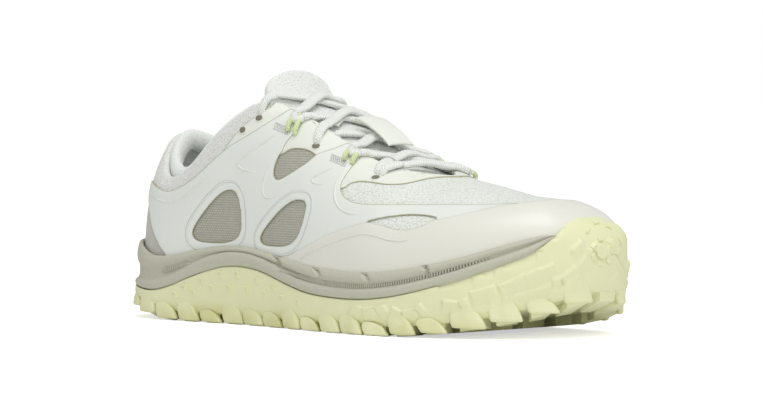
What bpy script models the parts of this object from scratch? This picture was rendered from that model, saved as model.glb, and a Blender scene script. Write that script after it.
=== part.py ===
"""Low trail shoe with a thin flexible sole, right foot, standing empty.

Metres, +X to the toe, +Y to the medial side, +Z up, the ground at Z = 0.
Every curved piece is lofted through the same upright half planes, called stations,
that fan round the heel and the toe and stand square to the spine between them.
"""
import math
from functools import lru_cache

import bmesh
import bpy
from mathutils import Vector

# Driving sizes, in metres
LENGTH = 0.282
BALL_LATERAL = 0.0508
BALL_MEDIAL = 0.0535
HEEL_LATERAL = 0.0365
HEEL_MEDIAL = 0.0337
TIP_OFFSET = 0.010
SPINE_OFFSET = 0.005
STACK_HEIGHT = 0.037
TOE_SPRING = 0.0185
HEEL_BEVEL = 0.0062
HEEL_BACK_HEIGHT = 0.088
INSTEP_HEIGHT = 0.1065
TOE_BOX_HEIGHT = 0.0626
THROAT_HALF = 0.0185
MOUTH_HALF = 0.0265
THROAT_HANDLE = 0.013
TONGUE_RISE = 0.0090
TONGUE_HALF = 0.027

# Walls, steps and clearances, in metres
GAP = 0.0003
UPPER_WALL = 0.0022
COLLAR_PAD = 0.0050
LUG_DEPTH = 0.0042
RUBBER_PLATE = 0.0030
RUBBER_WALL = 0.0026
TOE_GUARD_WALL = 0.0018
TOE_GUARD_LIFT = 0.0009
GROOVE_DEPTH = 0.0026
LIP_SETBACK = 0.0030
LIP_WALL = 0.0017
BED_DEPTH = 0.0090
INSOLE_THICKNESS = 0.0042
TONGUE_THICKNESS = 0.0042
PANEL_LIFT = 0.0005
PANEL_THICKNESS = 0.0009
LACE_WIDTH = 0.0048
LACE_THICKNESS = 0.0014
LOOP_DIAMETER = 0.0016
KEEPER_LENGTH = 0.0220
KEEPER_HALF = 0.0070

# Places along the shoe, as shares of its length from the heel
HEEL_CENTRE_AT = 0.131
TOE_CENTRE_AT = 0.830
HEEL_AT = 0.163
WAIST_LATERAL_AT = 0.287
WAIST_MEDIAL_AT = 0.323
BALL_LATERAL_AT = 0.677
BALL_MEDIAL_AT = 0.713
THROAT_END_AT = 0.684
SPINE_BENDS_AT = 0.32
SPINE_BEND = 0.5
PAD_ENDS_AT = 0.31
PAD_FADE = 0.06
HEEL_ROUNDNESS = 2.2
TOE_ROUNDNESS_LATERAL = 1.93
TOE_ROUNDNESS_MEDIAL = 2.5

# How finely the forms are divided
SIDE_STEPS = 16
TOE_STEPS = 14
HEEL_STEPS = 10
WALL_ROWS = 8


def mix(a, b, share):
    return a + (b - a) * share


def smooth(share):
    share = min(1.0, max(0.0, share))
    return share * share * (3 - 2 * share)


class Table:
    """Rows of named columns, read as smooth curves along the first column."""

    def __init__(self, names, rows):
        self.at = [row[0] for row in rows]
        self.columns = {name: [row[i] for row in rows] for i, name in enumerate(names) if i}
        self.slopes = {name: self.find_slopes(column) for name, column in self.columns.items()}

    def find_slopes(self, column):
        steps = [b - a for a, b in zip(self.at, self.at[1:])]
        rises = [(b - a) / h for a, b, h in zip(column, column[1:], steps)]
        inner = []
        for i in range(1, len(rises)):
            before, after = rises[i - 1], rises[i]
            if before * after <= 0:
                inner.append(0.0)
                continue
            w1 = 2 * steps[i] + steps[i - 1]
            w2 = steps[i] + 2 * steps[i - 1]
            inner.append((w1 + w2) / (w1 / before + w2 / after))
        return [rises[0]] + inner + [rises[-1]]

    def __call__(self, name, at):
        at = min(self.at[-1], max(self.at[0], at))
        i = max(k for k in range(len(self.at) - 1) if self.at[k] <= at)
        h = self.at[i + 1] - self.at[i]
        t = (at - self.at[i]) / h
        column, slopes = self.columns[name], self.slopes[name]
        value = (1 + 2 * t) * (1 - t) ** 2 * column[i] + t * (1 - t) ** 2 * h * slopes[i]
        return value + t * t * (3 - 2 * t) * column[i + 1] + t * t * (t - 1) * h * slopes[i + 1]


# The side of the sole, along the length. Rubber, band, groove and lip are heights of the
# rubber's edge, the lower band, the groove and the upper lip, bed is the footbed's middle.
# They are shares of STACK_HEIGHT. Heel and toe are shares of HEEL_BEVEL and TOE_SPRING.
SOLE = Table(("at", "rubber", "band", "groove", "lip", "bed", "heel", "toe"), [
    (0.000, 0.42, 0.51, 0.73, 1.02, 0.60, 1.00, 0.00),
    (0.046, 0.41, 0.50, 0.72, 0.98, 0.57, 0.92, 0.00),
    (0.089, 0.37, 0.48, 0.68, 0.85, 0.56, 0.58, 0.00),
    (0.131, 0.37, 0.49, 0.68, 0.81, 0.56, 0.18, 0.00),
    (0.181, 0.47, 0.61, 0.75, 0.86, 0.57, 0.00, 0.00),
    (0.252, 0.65, 0.84, 0.88, 0.96, 0.60, 0.00, 0.00),
    (0.323, 0.74, 0.92, 0.94, 1.00, 0.62, 0.00, 0.00),
    (0.379, 0.71, 0.88, 0.90, 0.96, 0.60, 0.00, 0.00),
    (0.465, 0.55, 0.70, 0.76, 0.86, 0.53, 0.00, 0.00),
    (0.535, 0.45, 0.58, 0.67, 0.79, 0.48, 0.00, 0.00),
    (0.642, 0.42, 0.54, 0.63, 0.76, 0.46, 0.00, 0.00),
    (0.713, 0.46, 0.58, 0.66, 0.79, 0.48, 0.00, 0.00),
    (0.798, 0.60, 0.72, 0.80, 0.90, 0.58, 0.00, 0.09),
    (0.869, 0.77, 0.89, 0.95, 1.04, 0.72, 0.00, 0.25),
    (0.926, 0.96, 1.05, 1.11, 1.18, 0.86, 0.00, 0.46),
    (0.950, 1.05, 1.14, 1.18, 1.24, 0.91, 0.00, 0.60),
    (0.968, 1.16, 1.22, 1.25, 1.28, 0.93, 0.00, 0.74),
    (0.980, 1.38, 1.16, 1.19, 1.22, 0.94, 0.00, 0.83),
    (1.000, 1.45, 1.08, 1.11, 1.14, 0.93, 0.00, 1.00),
])

# The upper's open edge and crest. Toe, instep, lateral and medial are shares of
# TOE_BOX_HEIGHT, INSTEP_HEIGHT and HEEL_BACK_HEIGHT that add up to the edge's height.
# Throat and mouth are shares of THROAT_HALF and MOUTH_HALF that add up to its half width.
# Lean is the wall's angle at the edge in degrees, handle the roundness of its shoulder as
# a share of THROAT_HANDLE, belly the height of its fullest point as a share, and swell how
# far that point stands out, as a share of LIP_SETBACK.
EDGE = Table(("at", "toe", "instep", "lateral", "medial", "throat", "mouth", "lean", "handle",
              "belly", "swell"), [
    (0.000, 0.0, 0.00, 1.000, 1.000, 0.00, 0.755, 46, 0.85, 0.43, -0.33),
    (0.039, 0.0, 0.00, 0.880, 0.975, 0.00, 0.79, 46, 0.77, 0.43, -0.33),
    (0.067, 0.0, 0.00, 0.812, 0.935, 0.00, 0.85, 45, 0.62, 0.43, -0.17),
    (0.103, 0.0, 0.00, 0.768, 0.885, 0.00, 0.91, 44, 0.58, 0.43, 0.10),
    (0.131, 0.0, 0.00, 0.756, 0.845, 0.00, 0.94, 43, 0.58, 0.43, 0.17),
    (0.173, 0.0, 0.00, 0.805, 0.825, 0.00, 1.00, 42, 0.62, 0.43, 0.17),
    (0.206, 0.0, 0.12, 0.740, 0.730, 0.00, 1.00, 42, 0.66, 0.44, 0.17),
    (0.238, 0.0, 0.40, 0.505, 0.490, 0.00, 0.97, 40, 0.77, 0.45, 0.17),
    (0.266, 0.0, 0.66, 0.260, 0.250, 0.15, 0.84, 38, 0.77, 0.45, 0.17),
    (0.294, 0.0, 0.84, 0.097, 0.097, 0.60, 0.47, 36, 0.80, 0.46, 0.17),
    (0.323, 0.0, 0.972, 0.00, 0.00, 1.22, 0.00, 33, 0.85, 0.46, 0.25),
    (0.344, 0.0, 1.000, 0.00, 0.00, 1.13, 0.00, 32, 0.85, 0.46, 0.30),
    (0.358, 0.0, 0.990, 0.00, 0.00, 1.06, 0.00, 31, 0.85, 0.46, 0.33),
    (0.376, 0.0, 0.955, 0.00, 0.00, 1.01, 0.00, 31, 0.88, 0.46, 0.33),
    (0.404, 0.0, 0.925, 0.00, 0.00, 1.00, 0.00, 30, 0.92, 0.46, 0.33),
    (0.436, 0.0, 0.903, 0.00, 0.00, 1.00, 0.00, 30, 0.96, 0.46, 0.38),
    (0.486, 0.0, 0.845, 0.00, 0.00, 1.00, 0.00, 28, 1.04, 0.46, 0.45),
    (0.550, 0.0, 0.753, 0.00, 0.00, 1.00, 0.00, 25, 1.15, 0.47, 0.50),
    (0.589, 0.0, 0.714, 0.00, 0.00, 0.97, 0.00, 20, 1.30, 0.49, 0.50),
    (0.635, 0.0, 0.685, 0.00, 0.00, 0.87, 0.00, 13, 1.48, 0.52, 0.45),
    (0.660, 0.0, 0.674, 0.00, 0.00, 0.66, 0.00, 8, 1.70, 0.55, 0.40),
    (0.675, 0.0, 0.669, 0.00, 0.00, 0.38, 0.00, 3, 1.77, 0.56, 0.35),
    (0.684, 0.0, 0.667, 0.00, 0.00, 0.00, 0.00, 0, 1.85, 0.56, 0.33),
    (0.713, 0.2, 0.538, 0.00, 0.00, 0.00, 0.00, 0, 1.93, 0.58, 0.33),
    (0.748, 0.5, 0.344, 0.00, 0.00, 0.00, 0.00, 0, 1.96, 0.60, 0.33),
    (0.798, 0.9, 0.080, 0.00, 0.00, 0.00, 0.00, 0, 2.00, 0.62, 0.33),
    (0.830, 1.0, 0.000, 0.00, 0.00, 0.00, 0.00, 0, 2.00, 0.62, 0.33),
    (0.926, 1.0, 0.000, 0.00, 0.00, 0.00, 0.00, 0, 2.10, 0.52, 0.20),
    (1.000, 1.0, 0.000, 0.00, 0.00, 0.00, 0.00, 0, 2.30, 0.50, 0.33),
])


def along(share):
    return (share - 0.5) * LENGTH


def share_of(x):
    return x / LENGTH + 0.5


def outline_y(x, side):
    """Y of the sole's outline at x; side is -1 for lateral and 1 for medial."""
    at = share_of(x)
    medial = side > 0
    ball, heel = (BALL_MEDIAL, HEEL_MEDIAL) if medial else (BALL_LATERAL, HEEL_LATERAL)
    ball_at = BALL_MEDIAL_AT if medial else BALL_LATERAL_AT
    waist_at = WAIST_MEDIAL_AT if medial else WAIST_LATERAL_AT
    if at > ball_at:
        roundness = TOE_ROUNDNESS_MEDIAL if medial else TOE_ROUNDNESS_LATERAL
        q = min(1.0, (at - ball_at) / (1 - ball_at))
        return TIP_OFFSET + (side * ball - TIP_OFFSET) * (1 - q ** roundness) ** (1 / roundness)
    if at < HEEL_AT:
        q = min(1.0, (HEEL_AT - at) / HEEL_AT)
        return side * heel * (1 - q ** HEEL_ROUNDNESS) ** (1 / HEEL_ROUNDNESS)
    return side * mix(heel, ball, smooth((at - waist_at) / (ball_at - waist_at)))


def spine_y(x):
    return SPINE_OFFSET * smooth((share_of(x) - SPINE_BENDS_AT) / SPINE_BEND)


def ground(x):
    """Height of the tread's lowest faces at x, which lift at the heel and the toe."""
    at = share_of(x)
    return SOLE("heel", at) * HEEL_BEVEL + SOLE("toe", at) * TOE_SPRING


class Station:
    """An upright half plane from the spine out through the sole's outline."""

    def __init__(self, cx, cy, angle, side):
        self.cx, self.cy, self.side = cx, cy, side
        self.dx, self.dy = math.cos(angle), math.sin(angle)
        self.r = self.reach()
        self.at = share_of(cx + self.r * self.dx)

    def reach(self):
        near, far = 0.0, LENGTH / 3
        for _ in range(40):
            r = (near + far) / 2
            x, y = self.cx + r * self.dx, self.cy + r * self.dy
            inside = abs(x) < LENGTH / 2 and outline_y(x, -1) < y < outline_y(x, 1)
            near, far = (r, far) if inside else (near, r)
        return (near + far) / 2

    def point(self, rho, z):
        return Vector((self.cx + rho * self.dx, self.cy + rho * self.dy, z))

    def sole(self, name):
        return SOLE(name, self.at) * STACK_HEIGHT

    def edge_height(self):
        heel = EDGE("lateral" if self.side < 0 else "medial", self.at) * HEEL_BACK_HEIGHT
        instep = EDGE("instep", self.at) * INSTEP_HEIGHT
        return heel + instep + EDGE("toe", self.at) * TOE_BOX_HEIGHT

    def edge_half(self):
        if self.at >= THROAT_END_AT:
            return 0.0
        return EDGE("throat", self.at) * THROAT_HALF + EDGE("mouth", self.at) * MOUTH_HALF


@lru_cache(maxsize=None)
def station(u):
    """Station at u: 0 to 1 lateral, to 2 round the toe, to 3 medial, to 4 round the heel."""
    u = u % 4.0
    heel_x, toe_x = along(HEEL_CENTRE_AT), along(TOE_CENTRE_AT)
    if u < 1:
        x = mix(heel_x, toe_x, u)
        return Station(x, spine_y(x), -math.pi / 2, -1)
    if u < 2:
        angle = math.pi * (u - 1.5)
        return Station(toe_x, spine_y(toe_x), angle, -1 if angle < 0 else 1)
    if u <= 3:
        x = mix(toe_x, heel_x, u - 2)
        return Station(x, spine_y(x), math.pi / 2, 1)
    angle = math.pi * (u - 2.5)
    return Station(heel_x, spine_y(heel_x), angle, 1 if angle < math.pi else -1)


def around():
    """The u of every station, once round the shoe."""
    sides = [i / SIDE_STEPS for i in range(SIDE_STEPS)]
    toe = [1 + i / TOE_STEPS for i in range(TOE_STEPS)]
    heel = [3 + i / HEEL_STEPS for i in range(HEEL_STEPS)]
    return sides + toe + [2 + share for share in sides] + heel


def side_u(x, side):
    """The u of the station that stands at x on one side."""
    share = (x - along(HEEL_CENTRE_AT)) / (along(TOE_CENTRE_AT) - along(HEEL_CENTRE_AT))
    return share if side < 0 else 3 - share


def cup_inset():
    return LIP_SETBACK + LIP_WALL + GAP


def wall_start(st):
    """Height where the upper's curved wall leaves the sole's cup."""
    return st.sole("lip") - LIP_SETBACK


def bed_edge(st):
    return st.sole("lip") - BED_DEPTH


def wall_section(st):
    """Control points (rho, z) of the upper's outer face, from the cup to its open edge."""
    foot, top = wall_start(st), st.edge_height()
    rho, half = st.r - cup_inset(), st.edge_half()
    lean, handle = math.radians(EDGE("lean", st.at)), EDGE("handle", st.at) * THROAT_HANDLE
    belly = mix(foot, top, EDGE("belly", st.at))
    shoulder = (half + handle * math.cos(lean), top - handle * math.sin(lean))
    fullest = rho + EDGE("swell", st.at) * LIP_SETBACK
    return (rho, foot), (fullest, belly), shoulder, (half, top)


def bezier(points, t):
    weights = ((1 - t) ** 3, 3 * t * (1 - t) ** 2, 3 * t * t * (1 - t), t ** 3)
    rho = sum(w * p[0] for w, p in zip(weights, points))
    return rho, sum(w * p[1] for w, p in zip(weights, points))


@lru_cache(maxsize=None)
def wall_point(u, t):
    st = station(u)
    return st.point(*bezier(wall_section(st), t))


@lru_cache(maxsize=None)
def wall_normal(u, t):
    """Outward direction of the upper's face at u and t."""
    st = station(u)
    if t > 0.999 and st.edge_half() == 0:
        x = min(st.cx, along(TOE_CENTRE_AT) - 0.002)
        reach = 0.002
        rise = ridge_point(x + reach).z - ridge_point(x - reach).z
        return Vector((-rise, 0, 2 * reach)).normalized()
    t = min(t, 0.985)
    step_u, step_t = 0.012, 0.012
    across = wall_point(u + step_u, t) - wall_point(u - step_u, t)
    up = wall_point(u, min(1.0, t + step_t)) - wall_point(u, max(0.0, t - step_t))
    return across.cross(up).normalized()


@lru_cache(maxsize=None)
def ridge_point(x):
    """Crest of the closed vamp at x."""
    return wall_point(side_u(x, -1), 1.0)


def offset_point(u, t, lift):
    """Point above the upper's face, or inside it where lift is negative."""
    return wall_point(u, t) + wall_normal(u, t) * lift


class Solid:
    """A closed surface in the making, whose equal points become one vertex."""

    def __init__(self, name, colour, roughness):
        self.name, self.colour, self.roughness = name, colour, roughness
        self.bm = bmesh.new()
        self.pool = {}

    def vertex(self, point):
        key = tuple(round(c * 1e6) for c in point)
        if key not in self.pool:
            self.pool[key] = self.bm.verts.new(point)
        return self.pool[key]

    def face(self, points):
        verts = {self.vertex(point): None for point in points}
        if len(verts) > 2 and self.bm.faces.get(list(verts)) is None:
            self.bm.faces.new(verts)

    def skin(self, rows, closed=False):
        """Triangles between neighbouring rows of points, split along the shorter diagonal."""
        for low, high in zip(rows, rows[1:]):
            count = len(low)
            for i in range(count if closed else count - 1):
                k = (i + 1) % count
                a, b, c, d = low[i], low[k], high[k], high[i]
                if (a - c).length < (b - d).length + GAP / 1000:
                    self.face((a, b, c))
                    self.face((a, c, d))
                else:
                    self.face((a, b, d))
                    self.face((b, c, d))

    def finish(self):
        bmesh.ops.recalc_face_normals(self.bm, faces=self.bm.faces)
        mesh = bpy.data.meshes.new(self.name)
        self.bm.to_mesh(mesh)
        self.bm.free()
        mesh.materials.append(make_material(self.name, self.colour, self.roughness))
        mesh.shade_smooth()
        mesh.set_sharp_from_angle(angle=math.radians(40))
        piece = bpy.data.objects.new(self.name, mesh)
        PARTS.objects.link(piece)
        return piece


def make_material(name, colour, roughness):
    material = bpy.data.materials.new(name)
    material.use_nodes = True
    shader = material.node_tree.nodes["Principled BSDF"]
    shader.inputs["Base Color"].default_value = (*colour, 1)
    shader.inputs["Roughness"].default_value = roughness
    shader.inputs["Metallic"].default_value = 0.0
    return material


def start_scene():
    """Empties the file and makes one collection for the parts and one for the cutters."""
    for thing in list(bpy.data.objects):
        bpy.data.objects.remove(thing, do_unlink=True)
    made = []
    for name in ("barefoot_shoe", "cutters"):
        collection = bpy.data.collections.new(name)
        bpy.context.scene.collection.children.link(collection)
        made.append(collection)
    return made


def boolean(target, other, operation):
    """Cuts or joins a piece with another solid, which then serves as a cutter only."""
    modifier = target.modifiers.new(operation.lower(), "BOOLEAN")
    modifier.operation = operation
    modifier.object = other
    modifier.solver = "EXACT"
    PARTS.objects.unlink(other)
    CUTTERS.objects.link(other)
    other.hide_render = True
    other.display_type = "WIRE"


def guarded(u):
    """True where the rubber climbs past the midsole over the toe."""
    st = station(u)
    return st.sole("rubber") > st.sole("lip")


def rubber_top(u):
    """Height of the rubber's edge. Beside the toe guard it meets the midsole's lip."""
    st, step = station(u), 1 / TOE_STEPS
    if not guarded(u) and (guarded(u - step) or guarded(u + step)):
        return st.sole("lip") - GAP
    return st.sole("rubber")


def guard_share(u):
    """Share t of the upper's section at the height of the toe guard's edge."""
    return share_at_height(u, rubber_top(u))


# Rings of the tread plate's two faces, as shares of the station's reach
PLATE_RINGS = (0.0, 0.45, 0.8)
TUCK = 0.0026
BULGE_AT = 0.55


def plate_height(x):
    return ground(x) + LUG_DEPTH


def floor_point(st, rho, lift):
    """Point on the tread plate's underside, or above it by lift."""
    place = st.point(rho, 0)
    place.z = plate_height(place.x) + lift
    return place


def make_outsole():
    """Rubber plate with a wall that climbs at the arch and the toe, and lugs below."""
    solid = Solid("outsole", (0.72, 0.75, 0.42), 0.75)
    lines = [rubber_profile(u) for u in around()]
    solid.skin([list(row) for row in zip(*lines)], closed=True)
    outsole = solid.finish()
    boolean(outsole, make_lugs(), "UNION")
    return outsole


def rubber_profile(u):
    """The rubber's section at u, from the middle of its underside round to its top."""
    st = station(u)
    foot = floor_point(st, st.r - TUCK, 0).z
    top, lip = rubber_top(u), st.sole("lip")
    wall_foot = foot + RUBBER_PLATE
    points = [floor_point(st, st.r * share, 0) for share in PLATE_RINGS]
    points.append(st.point(st.r - TUCK, foot))
    points.append(st.point(st.r - TUCK / 4, mix(foot, min(top, lip), BULGE_AT / 2)))
    points.append(st.point(st.r, mix(foot, min(top, lip), BULGE_AT)))
    inner = st.r - RUBBER_WALL
    if guarded(u):
        rim, half_way = guard_share(u), guard_share(u) / 2
        points.append(st.point(st.r - 3 * GAP, lip))
        points += [offset_point(u, t, TOE_GUARD_LIFT + TOE_GUARD_WALL) for t in (half_way, rim)]
        points += [offset_point(u, t, TOE_GUARD_LIFT) for t in (rim, half_way)]
        points.append(st.point(inner, lip + 2 * GAP))
    else:
        meets_guard = top > lip - 2 * GAP
        points += [st.point(st.r - GAP, mix(foot, top, share)) for share in (0.7, 0.9, 1)]
        for share in (1.0, 0.9, 0.8):
            height = top - (1 - share) * GAP if meets_guard else mix(wall_foot, top, share)
            points.append(st.point(inner, height))
    points.append(st.point(inner, wall_foot + RUBBER_WALL / 4))
    points.append(floor_point(st, inner - RUBBER_WALL / 4, RUBBER_PLATE))
    points += [floor_point(st, st.r * share, RUBBER_PLATE) for share in reversed(PLATE_RINGS)]
    return points


# Rows of lugs: count round the edge, and the shares of the reach where each lug starts and
# ends. Sweep is how far its inner end lags, as a share of the pitch.
EDGE_LUGS_SIDE = 13
EDGE_LUGS_TOE = 8
EDGE_LUGS_HEEL = 7
EDGE_LUG_REACH = 0.30
LUG_FILL = 0.62
LUG_SWEEP = 0.35
LUG_ROOT = 0.0014
LUG_TAPER = 0.06
CHEVRONS = 10
CHEVRON_LEAD = 0.35
CHEVRON_SWEEP = 0.45
CHEVRON_NEAR = 0.06
CHEVRON_FAR = 0.58


def lug(solid, corners):
    """One lug under the plate, from four corners (station, rho) in order."""
    low, high = [], []
    for st, rho in corners:
        foot = floor_point(st, rho, -LUG_DEPTH)
        low.append(foot)
        high.append(foot + Vector((0, 0, LUG_DEPTH + LUG_ROOT)))
    middle = sum(low, Vector()) / 4
    low = [mix(foot, middle, LUG_TAPER) for foot in low]
    for foot in low:
        foot.z = ground(foot.x)
    solid.skin([low, high], closed=True)
    solid.face(low)
    solid.face(high)


def make_lugs():
    solid = Solid("lugs", (0.7, 0.73, 0.4), 0.75)
    runs = ((0, EDGE_LUGS_SIDE, 1), (1, EDGE_LUGS_TOE, 1), (2, EDGE_LUGS_SIDE, -1), (3, EDGE_LUGS_HEEL, 1))
    for start, count, lead in runs:
        pitch = 1 / count
        for i in range(count):
            outer = start + (i + (1 - LUG_FILL) / 2) * pitch
            inner = outer + lead * (-LUG_SWEEP if start in (0, 2) else 0) * pitch
            width = LUG_FILL * pitch
            corners = [(station(outer), TUCK + GAP), (station(outer + width), TUCK + GAP)]
            corners = [(st, st.r - inset) for st, inset in corners]
            for u in (inner + width, inner):
                st = station(u)
                corners.append((st, st.r * (1 - EDGE_LUG_REACH)))
            lug(solid, corners)
    add_chevrons(solid)
    return solid.finish()


def add_chevrons(solid):
    """A row of V shaped lugs along the middle of the sole, pointing to the toe."""
    first, last = along(HEEL_CENTRE_AT), along(TOE_CENTRE_AT)
    pitch = (last - first) / CHEVRONS
    thick = LUG_FILL * pitch
    for i in range(CHEVRONS):
        tip_x = first + (i + CHEVRON_LEAD) * pitch
        wing_x = max(first, tip_x - pitch * CHEVRON_SWEEP)
        for side in (-1, 1):
            corners = []
            for x, share in ((tip_x, CHEVRON_NEAR), (wing_x, CHEVRON_FAR),
                             (wing_x + thick, CHEVRON_FAR), (tip_x + thick, CHEVRON_NEAR)):
                st = station(side_u(x, side))
                corners.append((st, st.r * share))
            lug(solid, corners)


def midsole_profile(u):
    """The foam's section at u, from the middle of its underside round to its footbed."""
    st = station(u)
    hidden = st.r - RUBBER_WALL - GAP
    foot = floor_point(st, hidden, RUBBER_PLATE + GAP).z
    lip, top = st.sole("lip"), min(rubber_top(u) + GAP, st.sole("lip"))
    open_side = top < lip - GAP
    points = [floor_point(st, st.r * share, RUBBER_PLATE + GAP) for share in PLATE_RINGS]
    points.append(floor_point(st, hidden - RUBBER_WALL / 4 - GAP, RUBBER_PLATE + GAP))
    points.append(st.point(hidden, foot + RUBBER_WALL / 4 + GAP))
    points.append(st.point(hidden, top if open_side else lip - 1.4 * GAP))
    band, groove = st.sole("band"), st.sole("groove")
    rows = (
        (0.0, GAP * 2, top), (0.1, 0, mix(top, band, 0.5)), (0.2, GAP * 2, band),
        (0.3, GROOVE_DEPTH, band + GAP * 2), (0.4, GROOVE_DEPTH, groove - GAP * 2),
        (0.5, LIP_SETBACK * 0.5, groove), (0.6, LIP_SETBACK * 0.35, mix(groove, lip, 0.45)),
        (0.9, LIP_SETBACK * 0.75, lip - GAP * 2),
    )
    for order, inset, height in rows:
        if open_side:
            points.append(st.point(st.r - inset, max(height, top + order * GAP)))
        else:
            points.append(st.point(hidden, lip - GAP * (1.2 - order)))
    rim = LIP_SETBACK + GAP * (0 if open_side else 1)
    points.append(st.point(st.r - rim, lip))
    cup = st.r - LIP_SETBACK - LIP_WALL
    points.append(st.point(cup, lip - GAP))
    points.append(st.point(cup, bed_edge(st)))
    points += [bed_point(st, share, 0) for share in reversed(bed_rings(st))]
    return points


BED_RINGS = (0.0, 0.45, 0.7)


def bed_rings(st):
    """Shares of the reach where the footbed's rings lie, the last beside the upper's wall."""
    return (*BED_RINGS, 1 - (cup_inset() + UPPER_WALL + 2 * GAP) / st.r)


def bed_point(st, share, lift):
    """Point on the footbed at a share of the reach, hollow towards the middle."""
    place = st.point(st.r * share, 0)
    middle = SOLE("bed", share_of(place.x)) * STACK_HEIGHT
    rim = (st.r - cup_inset()) / st.r
    place.z = mix(middle, bed_edge(st), (share / rim) ** 2) + lift
    return place


def make_midsole():
    solid = Solid("midsole", (0.78, 0.77, 0.74), 0.7)
    lines = [midsole_profile(u) for u in around()]
    solid.skin([list(row) for row in zip(*lines)], closed=True)
    return solid.finish()


def make_insole():
    """Foam sheet on the footbed, inside the upper's wall."""
    solid = Solid("insole", (0.80, 0.81, 0.78), 0.9)
    lines = []
    for u in around():
        st = station(u)
        rings = bed_rings(st)
        line = [bed_point(st, share, GAP) for share in rings]
        line += [bed_point(st, share, GAP + INSOLE_THICKNESS) for share in reversed(rings)]
        lines.append(line)
    solid.skin([list(row) for row in zip(*lines)], closed=True)
    return solid.finish()


def wall_thickness(st, t):
    """The wall is thin cloth below and a soft pad along the mouth of the shoe."""
    mouth = smooth((PAD_ENDS_AT - st.at) / PAD_FADE)
    return mix(UPPER_WALL, COLLAR_PAD, mouth * smooth((t - 0.5) / 0.4))


def make_upper():
    """One hollow shell, open at the collar and the throat, and below into the sole's cup."""
    solid = Solid("upper", (0.86, 0.88, 0.84), 0.8)
    shares = [i / WALL_ROWS for i in range(WALL_ROWS + 1)]
    places = around()
    outer, inner, rims = [], [], []
    for u in places:
        st = station(u)
        rho = st.r - cup_inset()
        outer.append([st.point(rho, bed_edge(st) + GAP)] + [wall_point(u, t) for t in shares])
        foot = st.point(rho - UPPER_WALL, bed_edge(st) + GAP)
        inner.append([foot] + [offset_point(u, t, -wall_thickness(st, t)) for t in shares])
        top, bottom = outer[-1][-1], inner[-1][-1]
        swell = (top - wall_point(u, shares[-2])).normalized() * wall_thickness(st, 1) * 0.35
        swell = swell if st.edge_half() > 0 else Vector()
        rims.append([top, mix(top, bottom, 0.25) + swell, mix(top, bottom, 0.75) + swell, bottom])
    solid.skin([list(row) for row in zip(*outer)], closed=True)
    solid.skin([list(row) for row in zip(*inner)], closed=True)
    solid.skin([[line[0] for line in outer], [line[0] for line in inner]], closed=True)
    count = len(places)
    for i in range(count):
        k = (i + 1) % count
        if max(station(places[i]).edge_half(), station(places[k]).edge_half()) > 0:
            solid.skin([rims[i], rims[k]])
    return solid.finish()


# The tongue, from its free top to its foot under the vamp. Rise is how far it stands above
# the line of the throat, as a share of TONGUE_RISE, half its half width as a share of
# TONGUE_HALF, and thick its thickness as a share of TONGUE_THICKNESS.
TONGUE_ROWS = (
    # at, rise, half, thick
    (0.346, 1.00, 0.50, 0.80),
    (0.352, 0.80, 0.62, 1.20),
    (0.364, 0.42, 0.62, 1.30),
    (0.380, 0.12, 0.65, 1.20),
    (0.405, 0.00, 0.86, 1.10),
    (0.445, 0.00, 0.92, 1.00),
    (0.500, 0.00, 0.90, 1.00),
    (0.550, 0.00, 0.86, 0.95),
    (0.600, 0.00, 0.82, 0.85),
    (0.645, 0.00, 0.76, 0.75),
    (0.684, 0.00, 0.64, 0.60),
    (0.705, 0.00, 0.50, 0.45),
)
TONGUE_ACROSS = (-1.0, -0.82, -0.55, -0.28, 0.0, 0.28, 0.55, 0.82, 1.0)


def throat_point(x, across, lift):
    """Point over the throat, or over the wall beside it, lifted from the shoe's skin.

    Between the throat's edges the skin goes on as an arch that meets the wall's slope.
    """
    side = -1 if across < 0 else 1
    u, rho = side_u(x, side), abs(across)
    st = station(u)
    half = st.edge_half()
    if rho >= half:
        low, high = 0.0, 1.0
        for _ in range(30):
            t = (low + high) / 2
            low, high = (t, high) if bezier(wall_section(st), t)[0] > rho else (low, t)
        return offset_point(u, min(1.0, (low + high) / 2), lift)
    slope = math.tan(math.radians(EDGE("lean", st.at)))
    rise = half * slope / 2 * (1 - (rho / half) ** 2)
    step = LENGTH / 200
    ahead, behind = station(side_u(x + step, side)), station(side_u(x - step, side))
    run = (ahead.edge_height() - behind.edge_height()) / (2 * step)
    tilt = slope * rho / half
    normal = Vector((-run, side * tilt, 1)).normalized()
    return Vector((x, st.cy + across, st.edge_height() + rise)) + normal * lift


def make_tongue():
    """Padded tongue, arched across, that runs under the throat's edges and stands free above."""
    solid = Solid("tongue", (0.84, 0.86, 0.82), 0.85)
    outer, inner = [], []
    depth = UPPER_WALL + 2 * GAP
    for at, rise, half, thick in TONGUE_ROWS:
        lift = Vector((0, 0, rise * TONGUE_RISE))
        wide = [share * half * TONGUE_HALF for share in TONGUE_ACROSS]
        outer.append([throat_point(along(at), across, -depth) + lift for across in wide])
    last = len(outer) - 1
    for i, row in enumerate(outer):
        run = outer[min(last, i + 1)][4] - outer[max(0, i - 1)][4]
        thickness = TONGUE_ROWS[i][3] * TONGUE_THICKNESS
        line = []
        for k, point in enumerate(row):
            across = row[min(8, k + 1)] - row[max(0, k - 1)]
            line.append(point - run.cross(across).normalized() * thickness)
        inner.append(line)
    solid.skin(outer)
    solid.skin(inner)
    for rows in (0, -1):
        solid.skin([outer[rows], inner[rows]])
    for end in (0, -1):
        solid.skin([[row[end] for row in outer], [row[end] for row in inner]])
    return solid.finish()


def share_at_height(u, height):
    """Share t of the wall's section at u where it reaches a height."""
    section = wall_section(station(u))
    low, high = 0.0, 1.0
    for _ in range(30):
        t = (low + high) / 2
        low, high = (t, high) if bezier(section, t)[1] < height else (low, t)
    return (low + high) / 2


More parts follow.
